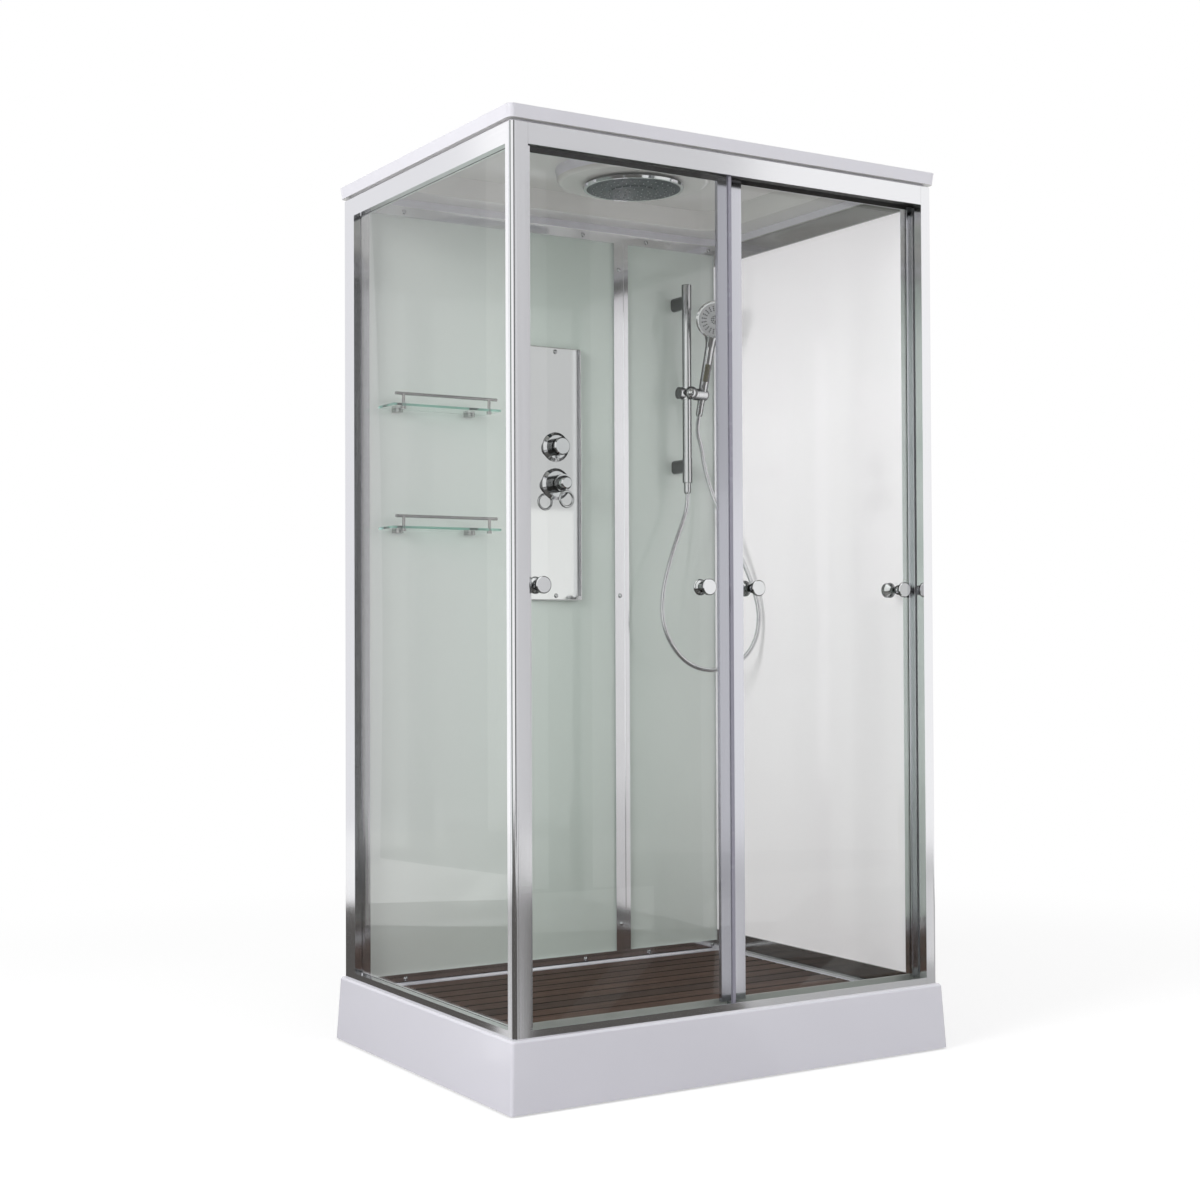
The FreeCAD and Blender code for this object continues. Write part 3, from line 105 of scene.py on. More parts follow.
def cloudy_group():
    """Soft cloudy variation of a colour, with a gloss that varies and an orange-peel height."""
    numbers = ("Shade", "Size", "Gloss low", "Gloss high")
    group, inside, out = node_group(
        "cloudy_skin",
        [("Color", "NodeSocketColor")] + [(label, "NodeSocketFloat") for label in numbers],
        [("Color", "NodeSocketColor"), ("Roughness", "NodeSocketFloat"), ("Height", "NodeSocketFloat")])
    place = group.nodes.new("ShaderNodeTexCoord")
    cloud = group.nodes.new("ShaderNodeTexNoise")
    cloud.inputs["Detail"].default_value = 3.0
    group.links.new(place.outputs["Object"], cloud.inputs["Vector"])
    group.links.new(inside.outputs["Size"], cloud.inputs["Scale"])
    shaded = shade_colour(group, inside.outputs["Shade"], inside.outputs["Color"], cloud.outputs["Fac"])
    group.links.new(shaded, out.inputs["Color"])
    gloss = spread(group, cloud.outputs["Fac"], inside.outputs["Gloss low"], inside.outputs["Gloss high"])
    group.links.new(gloss, out.inputs["Roughness"])
    peel = group.nodes.new("ShaderNodeTexNoise")
    peel.inputs["Scale"].default_value = 260.0
    group.links.new(place.outputs["Object"], peel.inputs["Vector"])
    group.links.new(peel.outputs["Fac"], out.inputs["Height"])
    return group


cloudy_skin = cloudy_group()


def shader_of(name):
    """New material and its Principled shader."""
    material = bpy.data.materials.new(name)
    material.use_nodes = True
    return material, material.node_tree.nodes["Principled BSDF"]


def bump_from(material, height, strength, distance):
    """Bump node that feeds the material's normal."""
    tree = material.node_tree
    bump = tree.nodes.new("ShaderNodeBump")
    bump.inputs["Strength"].default_value = strength
    bump.inputs["Distance"].default_value = distance
    tree.links.new(height, bump.inputs["Height"])
    tree.links.new(bump.outputs["Normal"], tree.nodes["Principled BSDF"].inputs["Normal"])


def skin_material(name, color, shade, size, gloss, bump, settings=None):
    """Material with the cloudy skin's colour, gloss and height, and plain settings on its shader."""
    material, shader = shader_of(name)
    tree = material.node_tree
    skin = tree.nodes.new("ShaderNodeGroup")
    skin.node_tree = cloudy_skin
    values = {"Color": (*color, 1.0), "Shade": shade, "Size": size,
              "Gloss low": gloss[0], "Gloss high": gloss[1]}
    for label, value in values.items():
        skin.inputs[label].default_value = value
    for label, value in (settings or {}).items():
        shader.inputs[label].default_value = value
    tree.links.new(skin.outputs["Color"], shader.inputs["Base Color"])
    tree.links.new(skin.outputs["Roughness"], shader.inputs["Roughness"])
    if bump:
        bump_from(material, skin.outputs["Height"], bump, distance=0.0004)
    return material


def object_axes(tree, kind="Object"):
    """A surface point's position in its piece, or its normal, as a vector and as three numbers."""
    place = tree.nodes.new("ShaderNodeTexCoord")
    axes = tree.nodes.new("ShaderNodeSeparateXYZ")
    tree.links.new(place.outputs[kind], axes.inputs["Vector"])
    return place.outputs[kind], axes.outputs


def recolour(material, mask, color):
    """Lay another colour over a material's base colour where a mask is 1."""
    tree = material.node_tree
    base = tree.nodes["Principled BSDF"].inputs["Base Color"]
    pick = tree.nodes.new("ShaderNodeMix")
    pick.data_type = "RGBA"
    tree.links.new(mask, pick.inputs["Factor"])
    if base.is_linked:
        tree.links.new(base.links[0].from_socket, pick.inputs["A"])
    else:
        pick.inputs["A"].default_value = base.default_value
    pick.inputs["B"].default_value = (*color, 1.0)
    tree.links.new(pick.outputs["Result"], base)


def dress(material, *names):
    """Give CAD nodes a material."""
    for name in names:
        for place in nodes[name].material_slots:
            place.material = material


tray_acrylic = skin_material(
    "tray_acrylic", (0.83, 0.82, 0.89), shade=0.06, size=3.0, gloss=(0.16, 0.26), bump=0.06,
    settings={"Coat Weight": 0.4, "Coat Roughness": 0.08})
dress(tray_acrylic, "shower_tray")
roof_acrylic = skin_material(
    "roof_acrylic", (0.83, 0.82, 0.88), shade=0.05, size=3.0, gloss=(0.18, 0.28), bump=0.06,
    settings={"Coat Weight": 0.3, "Coat Roughness": 0.10})
# Downward faces of the roof get a darker grey: painted shade on the ceiling.
ceiling_painted_shade, downward = (0.73, 0.72, 0.695), -0.3
roof_normal = object_axes(roof_acrylic.node_tree, "Normal")[1]
recolour(roof_acrylic, calc(roof_acrylic.node_tree, "LESS_THAN", roof_normal["Z"], downward), ceiling_painted_shade)
dress(roof_acrylic, "roof_cover")

# Parts under the tray and out of sight: a welded frame of zinc-plated tube on levelling feet, and a low trap
# moulded in black plastic. The doors' hangers are pressed from the same steel, their guides from the plastic.
metal = {"Metallic": 1.0}
zinc = skin_material(
    "zinc_steel", (0.55, 0.56, 0.57), shade=0.35, size=40.0, gloss=(0.30, 0.50), bump=0.10, settings=metal)
dress(zinc, "base_frame", "levelling_feet", "left_door_hangers", "right_door_hangers")
black_plastic = skin_material(
    "black_plastic", (0.02, 0.02, 0.022), shade=0.3, size=30.0, gloss=(0.38, 0.55), bump=0.15)
dress(black_plastic, "drain_trap", "left_door_guides", "right_door_guides")


# Duckboard: slats of dark oiled hardwood with gaps between them, screwed on four battens.
# It lies loose in the tray and lifts out for cleaning.
def between(tree, value, low, high):
    """1 where a value lies between two numbers, else 0."""
    return calc(tree, "MULTIPLY", calc(tree, "GREATER_THAN", value, low),
                calc(tree, "LESS_THAN", value, high))


def wood_material():
    """Dark hardwood: long grain along X, a tone of its own for each slat, fine pores, and painted shade:
    near-black sides and edges along the gaps.
    """
    material, shader = shader_of("dark_wood")
    tree = material.node_tree
    place, axes = object_axes(tree)
    stretch = tree.nodes.new("ShaderNodeMapping")
    stretch.inputs["Scale"].default_value = (3.0, 60.0, 60.0)
    tree.links.new(place, stretch.inputs["Vector"])
    grain = tree.nodes.new("ShaderNodeTexNoise")
    grain.inputs["Scale"].default_value = 2.2
    grain.inputs["Detail"].default_value = 8.0
    grain.inputs["Distortion"].default_value = 0.6
    tree.links.new(stretch.outputs["Vector"], grain.inputs["Vector"])
    ramp = tree.nodes.new("ShaderNodeValToRGB")
    pores, flats = ramp.color_ramp.elements
    pores.position, pores.color = 0.30, (0.046, 0.024, 0.016, 1.0)
    flats.position, flats.color = 0.72, (0.128, 0.066, 0.043, 1.0)
    tree.links.new(grain.outputs["Fac"], ramp.inputs["Fac"])
    low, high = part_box("duckboard_slats")
    slats, gap, shade_edge, shade_edge_depth, tone_share = 11, 0.006, 0.0022, 0.0003, 0.45
    pitch = (high[1] - low[1] + gap) / slats
    share = calc(tree, "DIVIDE", calc(tree, "SUBTRACT", axes["Y"], low[1]), pitch)
    whole = calc(tree, "FLOOR", share)
    tone = tree.nodes.new("ShaderNodeTexWhiteNoise")
    tone.noise_dimensions = "1D"
    tree.links.new(whole, tone.inputs["W"])
    shaded = shade_colour(tree, tone_share, ramp.outputs["Color"], tone.outputs["Value"])
    tree.links.new(shaded, shader.inputs["Base Color"])
    across_slat = calc(tree, "MULTIPLY", calc(tree, "SUBTRACT", share, whole), pitch)
    inner = between(tree, across_slat, shade_edge, pitch - gap - shade_edge)
    on_top = calc(tree, "GREATER_THAN", axes["Z"], high[2] - shade_edge_depth)
    # Near-black sides and top edges beside the gaps are painted shade between the slats.
    edges = calc(tree, "SUBTRACT", 1.0, calc(tree, "MULTIPLY", inner, on_top))
    recolour(material, edges, (0.010, 0.006, 0.004))
    tree.links.new(spread(tree, grain.outputs["Fac"], 0.72, 0.50), shader.inputs["Roughness"])
    shader.inputs["Specular IOR Level"].default_value = 0.2
    bump_from(material, grain.outputs["Fac"], strength=0.25, distance=0.0006)
    return material


dress(wood_material(), "duckboard_slats", "duckboard_battens")


# Posts, rails, tracks and stiles: extruded aluminium, polished to a mirror and clear anodised.
# Faint die lines run along each bar. The posts stand in the tray's ledge, the rails are screwed between them.
def die_line_group():
    """Fine lines stretched along one axis, as gloss and as height."""
    numbers = ("Gloss low", "Gloss high")
    group, inside, out = node_group(
        "die_lines",
        [("Stretch", "NodeSocketVector")] + [(label, "NodeSocketFloat") for label in numbers],
        [("Roughness", "NodeSocketFloat"), ("Height", "NodeSocketFloat")])
    place = group.nodes.new("ShaderNodeTexCoord")
    stretch = group.nodes.new("ShaderNodeVectorMath")
    stretch.operation = "MULTIPLY"
    group.links.new(place.outputs["Object"], stretch.inputs[0])
    group.links.new(inside.outputs["Stretch"], stretch.inputs[1])
    lines = group.nodes.new("ShaderNodeTexNoise")
    lines.inputs["Scale"].default_value = 1.0
    lines.inputs["Detail"].default_value = 4.0
    group.links.new(stretch.outputs["Vector"], lines.inputs["Vector"])
    gloss = spread(group, lines.outputs["Fac"], inside.outputs["Gloss low"], inside.outputs["Gloss high"])
    group.links.new(gloss, out.inputs["Roughness"])
    group.links.new(lines.outputs["Fac"], out.inputs["Height"])
    return group


die_lines = die_line_group()


def drawn_metal(name, color, stretch, gloss):
    """Polished metal with lines along the axis that has the small stretch."""
    material, shader = shader_of(name)
    tree = material.node_tree
    lines = tree.nodes.new("ShaderNodeGroup")
    lines.node_tree = die_lines
    lines.inputs["Stretch"].default_value = stretch
    lines.inputs["Gloss low"].default_value = gloss[0]
    lines.inputs["Gloss high"].default_value = gloss[1]
    shader.inputs["Base Color"].default_value = (*color, 1.0)
    shader.inputs["Metallic"].default_value = 1.0
    tree.links.new(lines.outputs["Roughness"], shader.inputs["Roughness"])
    bump_from(material, lines.outputs["Height"], strength=0.05, distance=0.0002)
    return material


aluminium, polished, satin = (0.85, 0.85, 0.87), (0.06, 0.16), (0.10, 0.20)
along_x, along_y, along_z = (3.0, 900.0, 900.0), (900.0, 3.0, 900.0), (900.0, 900.0, 3.0)
upright = drawn_metal("aluminium_upright", aluminium, along_z, polished)
across = drawn_metal("aluminium_across", aluminium, along_x, polished)
inward = drawn_metal("aluminium_inward", aluminium, along_y, polished)
# A darker copy of the aluminium for the right rails is painted shade.
inward_painted_shade = drawn_metal("aluminium_painted_shade", (0.38, 0.38, 0.37), along_y, polished)


def track_material(name, node, lining_and_shade):
    """Polished outside, matt and darker inside the tracks, where the extrusion stays raw and brush seals sit;
    the darker lining is partly painted shade in the channel.
    """
    material = across.copy()
    material.name = name
    tree = material.node_tree
    shader = tree.nodes["Principled BSDF"]
    low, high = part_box(node)
    wall, raw_roughness = 0.0022, 0.55
    inside = between(tree, object_axes(tree)[1]["Y"], low[1] + wall, high[1] - wall)
    # The lining colour stands for raw metal and brush seals, and also for painted shade inside the channel.
    recolour(material, inside, lining_and_shade)
    tree.links.new(calc(tree, "SUBTRACT", 1.0, inside), shader.inputs["Metallic"])
    gloss = shader.inputs["Roughness"].links[0].from_socket
    tree.links.new(spread(tree, inside, gloss, raw_roughness), shader.inputs["Roughness"])
    return material


def stile_material():
    """Satin profile whose left flat, beside the lap seal, is a tone darker: a painted dark reflection."""
    material = drawn_metal("aluminium_stile", (0.69, 0.69, 0.74), along_z, satin)
    tree = material.node_tree
    low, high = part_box("right_door_lap_stile")
    painted_reflection_half = calc(tree, "LESS_THAN", object_axes(tree)[1]["X"], (low[0] + high[0]) / 2)
    # The darker left flat is a painted reflection.
    recolour(material, painted_reflection_half, (0.46, 0.46, 0.51))
    return material


dress(upright, "front_left_post", "front_right_post", "back_left_post", "back_right_post", "back_mullion",
      "left_door_edge_channel", "right_door_edge_stile")
dress(stile_material(), "right_door_lap_stile")
dress(across, "back_rails")
dress(track_material("top_track", "front_top_rail", (0.045, 0.043, 0.042)), "front_top_rail")
dress(track_material("bottom_track", "front_bottom_rail", (0.46, 0.48, 0.46)), "front_bottom_rail")
dress(inward, "left_rails")
dress(inward_painted_shade, "right_rails")


# Panes: clear tempered float glass in the doors, the left side and the shelves, green at its cut edges.
# The doors hang on rollers; the left pane and the shelves sit in grooves and clamps.
def choose_shader(tree, mask, plain, other):
    """Show one shader where a mask is 0 and another where it is 1."""
    choose = tree.nodes.new("ShaderNodeMixShader")
    tree.links.new(mask, choose.inputs["Fac"])
    tree.links.new(plain, choose.inputs[1])
    tree.links.new(other, choose.inputs[2])
    tree.links.new(choose.outputs["Shader"], tree.nodes["Material Output"].inputs["Surface"])


def glass_material(name, tint, edge, flat_axis):
    """Clear glass that lets light through to what stands behind it, with a deeper tint at the cut edges."""
    material, shader = shader_of(name)
    tree = material.node_tree
    shader.inputs["Base Color"].default_value = (*edge, 1.0)
    normal = object_axes(tree, "Normal")[1]
    recolour(material, calc(tree, "ABSOLUTE", normal[flat_axis]), tint)
    smear = tree.nodes.new("ShaderNodeTexNoise")
    smear.inputs["Scale"].default_value = 5.0
    tree.links.new(object_axes(tree)[0], smear.inputs["Vector"])
    tree.links.new(spread(tree, smear.outputs["Fac"], 0.0, 0.02), shader.inputs["Roughness"])
    shader.inputs["IOR"].default_value = 1.45
    shader.inputs["Transmission Weight"].default_value = 1.0
    through = tree.nodes.new("ShaderNodeBsdfTransparent")
    through.inputs["Color"].default_value = (*tint, 1.0)
    path = tree.nodes.new("ShaderNodeLightPath").outputs
    mirrored = calc(tree, "SUBTRACT", path["Is Glossy Ray"], path["Is Transmission Ray"])
    bounced = calc(tree, "MAXIMUM", mirrored, path["Is Diffuse Ray"])
    clear = calc(tree, "MAXIMUM", bounced, path["Is Shadow Ray"])
    choose_shader(tree, clear, shader.outputs["BSDF"], through.outputs["BSDF"])
    return material


door_glass = glass_material("door_glass", tint=(0.978, 0.985, 0.98), edge=(0.12, 0.22, 0.18), flat_axis="Y")
side_glass = glass_material("side_glass", tint=(0.985, 0.985, 0.985), edge=(0.06, 0.09, 0.075), flat_axis="X")
shelf_glass = glass_material("shelf_glass", tint=(0.90, 0.97, 0.94), edge=(0.16, 0.50, 0.40), flat_axis="Z")
dress(door_glass, "left_door_glass", "right_door_glass")
dress(side_glass, "left_glass")
dress(shelf_glass, "shelf_plates")


# Back walls: two panels of float glass with pale green-white paint on their back; the colour is painted paler
# towards the corners, as painted light.
# They slide into grooves of the posts, the mullion and the rails.
def painted_glass_material():
    """Glossy painted glass whose colour fades to a paler tone on both sides of one line: painted light."""
    material = skin_material(
        "painted_glass", (0.71, 0.795, 0.74), shade=0.04, size=1.5, gloss=(0.03, 0.06), bump=0.0,
        settings={"Coat Weight": 0.5, "Coat Roughness": 0.02})
    tree = material.node_tree
    least_lit_line, fade_start, fade_end = 0.1, 0.15, 0.65
    aside = calc(tree, "ABSOLUTE", calc(tree, "SUBTRACT", object_axes(tree)[1]["X"], least_lit_line))
    # The paler tone towards both sides is painted light.
    recolour(material, spread(tree, aside, 0.0, 1.0, fade_start, fade_end), (0.84, 0.885, 0.85))
    return material


dress(painted_glass_material(), "back_panel_left", "back_panel_right")


# Right wall: one panel of milky white glass in the same grooves.
# It glows with painted light, more towards its top.
def white_panel_material():
    """White glass with a painted glow of light that grows with the square of the height."""
    material = skin_material(
        "white_panel", (0.87, 0.85, 0.86), shade=0.04, size=1.5, gloss=(0.04, 0.08), bump=0.0,
        settings={"Coat Weight": 0.4, "Coat Roughness": 0.03, "Emission Strength": 0.35})
    tree = material.node_tree
    painted_light_bottom, painted_light_top, least_painted_light = 0.3, 1.9, 0.4
    rise = spread(tree, object_axes(tree)[1]["Z"], 0.0, 1.0, painted_light_bottom, painted_light_top)
    # The emission is painted light; the panel is no lamp.
    glow = tree.nodes.new("ShaderNodeMix")
    glow.data_type = "RGBA"
    glow.inputs["A"].default_value = (0.0, 0.0, 0.0, 1.0)
    glow.inputs["B"].default_value = (0.97, 0.94, 0.98, 1.0)
    tree.links.new(spread(tree, calc(tree, "POWER", rise, 2.0), least_painted_light, 1.0), glow.inputs["Factor"])
    tree.links.new(glow.outputs["Result"], tree.nodes["Principled BSDF"].inputs["Emission Color"])
    return material


dress(white_panel_material(), "right_panel")


# Fittings: cast and turned brass with a bright chrome plate, screwed on the walls, the doors and the roof.
# The control panel is a folded mirror sheet, the shelves' clamps and guard rails are polished steel wire and
# bar, and the valve behind the wall stays plain brass.
def chrome_material():
    """Bright plate with a painted reflection: a Layer Weight ramp on its base colour paints bright and dark
    rings where a round part turns away.
    """
    material = skin_material(
        "chrome", (0.93, 0.94, 0.95), shade=0.08, size=25.0, gloss=(0.03, 0.08), bump=0.02, settings=metal)
    tree = material.node_tree
    # The ramp's bright and dark rings are a painted reflection in the base colour.
    turn = tree.nodes.new("ShaderNodeLayerWeight")
    turn.inputs["Blend"].default_value = 0.5
    tone = tree.nodes.new("ShaderNodeValToRGB")
    painted_reflection_stops = ((0.0, 0.74), (0.16, 0.95), (0.22, 0.75), (0.30, 0.22), (0.50, 0.12), (0.76, 0.30), (1.0, 0.55))
    for spot, level in painted_reflection_stops[1:-1]:
        tone.color_ramp.elements.new(spot).color = (level, level, level, 1.0)
    for end in (0, -1):
        level = painted_reflection_stops[end][1]
        tone.color_ramp.elements[end].color = (level, level, level, 1.0)
    tree.links.new(turn.outputs["Facing"], tone.inputs["Fac"])
    base = tree.nodes["Principled BSDF"].inputs["Base Color"]
    shaded = shade_colour(tree, 1.0, base.links[0].from_socket, tone.outputs["Color"])
    tree.links.new(shaded, base)
    return material


dress(chrome_material(), "left_door_knobs", "right_door_knobs", "control_escutcheons", "diverter_knob",
      "mixer_collar", "mixer_handle", "slide_bar", "bar_brackets", "slider", "slider_clamp_knob",
      "handset_holder", "handset_body", "handset_selector", "domed_screws")
shelf_steel = skin_material(
    "shelf_steel", (0.42, 0.41, 0.40), shade=0.15, size=25.0, gloss=(0.10, 0.20), bump=0.02, settings=metal)
dress(shelf_steel, "shelf_fittings")
soft_chrome = skin_material(
    "soft_chrome", (0.74, 0.75, 0.76), shade=0.10, size=25.0, gloss=(0.04, 0.09), bump=0.02, settings=metal)
dress(soft_chrome, "rain_head_body", "drain_waste")
mirror_steel = skin_material(
    "mirror_steel", (0.86, 0.86, 0.86), shade=0.05, size=6.0, gloss=(0.02, 0.06), bump=0.0, settings=metal)
dress(mirror_steel, "control_panel")
cast_brass = skin_material(
    "cast_brass", (0.65, 0.45, 0.18), shade=0.3, size=60.0, gloss=(0.30, 0.50), bump=0.3, settings=metal)
dress(cast_brass, "valve_body")

# Rollers and seals of the doors: rollers turned from white nylon, which run on axles in the hangers, and
# strips of extruded plastic pushed on the panes' edges, clear at the posts and grey where the doors lap.
nylon = skin_material(
    "white_nylon", (0.78, 0.78, 0.76), shade=0.08, size=60.0, gloss=(0.35, 0.50), bump=0.1)
dress(nylon, *[name for name in nodes if "roller" in name])
clear_seal = skin_material(
    "clear_seal", (0.62, 0.64, 0.64), shade=0.10, size=60.0, gloss=(0.25, 0.40), bump=0.1)
dress(clear_seal, "left_door_seal", "right_door_seal")
lap_seal = skin_material(
    "lap_seal", (0.34, 0.33, 0.40), shade=0.10, size=60.0, gloss=(0.20, 0.32), bump=0.1)
dress(lap_seal, "left_door_lap_strip")


# Rain head's face: a domed plate of dark blue-grey plastic, clipped into the chromed body under the roof.
# Its nozzles of pale rubber stand through the plate.
def rain_plate_material():
    """Dark plate; what stands out from its dome by more than a skin is pale rubber."""
    material = skin_material(
        "rain_plate", (0.034, 0.052, 0.058), shade=0.15, size=40.0, gloss=(0.25, 0.38), bump=0.05,
        settings={"Specular IOR Level": 0.2})
    tree = material.node_tree
    axes = object_axes(tree)[1]
    low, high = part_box("rain_head_face")
    radius = (high[0] - low[0]) / 2
    step, dome, middle_share, skin = 0.002, 0.007, 0.25, 0.0006
    square = calc(tree, "ADD", calc(tree, "MULTIPLY", axes["X"], axes["X"]),
                  calc(tree, "MULTIPLY", axes["Y"], axes["Y"]))
    share = calc(tree, "DIVIDE", square, radius * radius)
    plate = calc(tree, "ADD", calc(tree, "MULTIPLY", share, dome - step), high[2] - dome)
    middle = calc(tree, "MULTIPLY", calc(tree, "LESS_THAN", share, middle_share), step)
    level = calc(tree, "SUBTRACT", plate, middle)
    nozzles = calc(tree, "LESS_THAN", axes["Z"], calc(tree, "SUBTRACT", level, skin))
    recolour(material, nozzles, (0.50, 0.54, 0.54))
    return material


dress(rain_plate_material(), "rain_head_face")

# Hand shower's face: a light grey plastic plate with black rubber nozzles, in short rows round a cluster in
# the middle. Each nozzle is a small cone with a sunk tip, pressed through the plate from behind.
spray_grey = skin_material(
    "spray_grey", (0.52, 0.53, 0.54), shade=0.12, size=40.0, gloss=(0.22, 0.34), bump=0.05)
dress(spray_grey, "handset_face")
nozzle_black = skin_material(
    "nozzle_black", (0.016, 0.016, 0.017), shade=0.3, size=300.0, gloss=(0.40, 0.55), bump=0.1)
handle_foot, handle_lean, handle_twist, head_reach = (0.445, 0.347, 1.660), 17.0, -25.0, 0.208
handle_place = (Matrix.Translation(handle_foot) @ Matrix.Rotation(math.radians(handle_lean), 4, "X")
                @ Matrix.Rotation(math.radians(handle_twist), 4, "Z"))
head_place = handle_place @ Matrix.Translation((0.0, 0.0, head_reach))
face_radius, shoulder_share = 0.045, 0.6
face_crown, face_shoulder, face_rim = 0.012, 0.0114, 0.010


def face_height(share):
    """How far the domed face stands in front of the head's middle, at a share of its radius."""
    if share < shoulder_share:
        return face_crown - (face_crown - face_shoulder) * share / shoulder_share
    return face_shoulder - (face_shoulder - face_rim) * (share - shoulder_share) / (1.0 - shoulder_share)


row_count, inner_count, outer_count = 20, 6, 12
spots = [(share, 2 * math.pi * k / row_count) for share in (0.58, 0.69, 0.80) for k in range(row_count)]
spots += [(0.12, 2 * math.pi * k / inner_count) for k in range(inner_count)]
spots += [(0.23, 2 * math.pi * (k + 0.5) / outer_count) for k in range(outer_count)]
nozzle_proud, middle_level = 0.0003, 0.0117
bpy.ops.object.select_all(action="DESELECT")
bpy.ops.mesh.primitive_cone_add(vertices=8, radius1=0.0021, radius2=0.0016, depth=0.0012)
nozzle = bpy.context.object
nozzle.name = "handset_nozzles"
bpy.ops.object.mode_set(mode="EDIT")
bpy.ops.mesh.select_all(action="DESELECT")
bpy.ops.object.mode_set(mode="OBJECT")
for side in nozzle.data.polygons:
    side.select = side.normal.z > 0.9
bpy.ops.object.mode_set(mode="EDIT")
bpy.ops.mesh.inset(thickness=0.0006)
bpy.ops.transform.translate(value=(0.0, 0.0, -0.0004))
bpy.ops.object.mode_set(mode="OBJECT")
shape = nozzle.data.copy()
forward = Matrix.Rotation(math.pi / 2, 4, "X")
nozzle.data.transform(head_place @ Matrix.Translation((0.0, -middle_level, 0.0)) @ forward)
for share, turn in spots:
    copy = bpy.data.objects.new("nozzle", shape.copy())
    radius = share * face_radius
    spot = (radius * math.sin(turn), -face_height(share) - nozzle_proud, radius * math.cos(turn))
    copy.data.transform(head_place @ Matrix.Translation(spot) @ forward)
    bpy.context.collection.objects.link(copy)
    copy.select_set(True)
nozzle.select_set(True)
bpy.context.view_layer.objects.active = nozzle
bpy.ops.object.join()
nozzle.data.materials.append(nozzle_black)
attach(nozzle, "hand_shower")

# Window on the handle: a small curved plate of dark olive plastic with rounded corners and no sign on it.
# It is snapped into a shallow seat in the chromed handle.
window_radius, window_height, window_level, window_half_angle = 0.0132, 0.048, 0.062, 32.0
bpy.ops.object.select_all(action="DESELECT")
bpy.ops.mesh.primitive_cylinder_add(
    vertices=48, radius=window_radius, depth=window_height, end_fill_type="NOTHING")
window = bpy.context.object
window.name = "handle_window"
bpy.ops.object.mode_set(mode="EDIT")
bpy.ops.mesh.select_all(action="DESELECT")
bpy.ops.object.mode_set(mode="OBJECT")
for side in window.data.polygons:
    side.select = side.normal.y > -math.cos(math.radians(window_half_angle))
bpy.ops.object.mode_set(mode="EDIT")
bpy.ops.mesh.delete(type="FACE")
bpy.ops.mesh.select_all(action="DESELECT")
bpy.ops.object.mode_set(mode="OBJECT")
window_reach = max(abs(corner.co.x) for corner in window.data.vertices)
for corner in window.data.vertices:
    corner.select = abs(corner.co.x) > window_reach - 1e-5
bpy.ops.object.mode_set(mode="EDIT")
bpy.ops.mesh.bevel(offset=0.0012, segments=3, affect="VERTICES")
bpy.ops.mesh.select_all(action="SELECT")
bpy.ops.mesh.solidify(thickness=-0.0006)
bpy.ops.object.mode_set(mode="OBJECT")
window.data.transform(handle_place @ Matrix.Translation((0.0, 0.0, window_level)))
bpy.ops.object.shade_smooth_by_angle(angle=math.radians(40))
olive = skin_material(
    "olive_window", (0.075, 0.066, 0.026), shade=0.2, size=80.0, gloss=(0.12, 0.22), bump=0.02,
    settings={"Coat Weight": 0.5})
window.data.materials.append(olive)
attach(window, "hand_shower")

# Hose: a wound strip of bright steel, about 1.4 m long, between the bar's nut and the hand shower.
# It hangs in one loose loop. It is made as three runs, end to end: the drop stays with the cabin, and the
# loop and the top are left unattached.
hose_route = [
    (0.394, 0.347, 1.3857), (0.393, 0.347, 1.350), (0.378, 0.346, 1.310), (0.350, 0.342, 1.250),
    (0.323, 0.337, 1.184), (0.303, 0.332, 1.122), (0.294, 0.326, 1.068), (0.296, 0.320, 1.024),
    (0.312, 0.312, 0.977), (0.346, 0.301, 0.931), (0.388, 0.286, 0.907), (0.441, 0.265, 0.903),
    (0.503, 0.238, 0.933), (0.533, 0.225, 0.985), (0.542, 0.221, 1.039), (0.541, 0.228, 1.092),
    (0.531, 0.262, 1.178), (0.516, 0.307, 1.262), (0.497, 0.346, 1.343), (0.482, 0.367, 1.408),
    (0.468, 0.375, 1.472), (0.460, 0.374, 1.518), (0.445, 0.37634, 1.56403), (0.445, 0.36464, 1.60229)]
loop_first, loop_last = hose_route[8], hose_route[14]
hose_diameter, groove_share, rib_pitch = 0.0125, 0.90, 0.0023
curve = bpy.data.curves.new("hose_line", "CURVE")
curve.dimensions = "3D"
curve.resolution_u = 24
spline = curve.splines.new("NURBS")
spline.points.add(len(hose_route) - 1)
for point, place in zip(spline.points, hose_route):
    point.co = (*place, 1.0)
spline.order_u = 3
spline.use_endpoint_u = True
line = bpy.data.objects.new("hose_line", curve)
bpy.context.collection.objects.link(line)
bpy.context.view_layer.update()
read = bpy.data.meshes.new_from_object(line.evaluated_get(bpy.context.evaluated_depsgraph_get()))
hose_line = [vertex.co.copy() for vertex in read.vertices]
bpy.data.objects.remove(line)


def even_steps(points, step):
    """Points at even distances along a line."""
    found = [points[0]]
    left = step
    for a, b in zip(points, points[1:]):
        span = (b - a).length
        while span > 1e-9 and left <= span:
            a = a.lerp(b, left / span)
            found.append(a)
            span = (b - a).length
            left = step
        left -= span
    return found


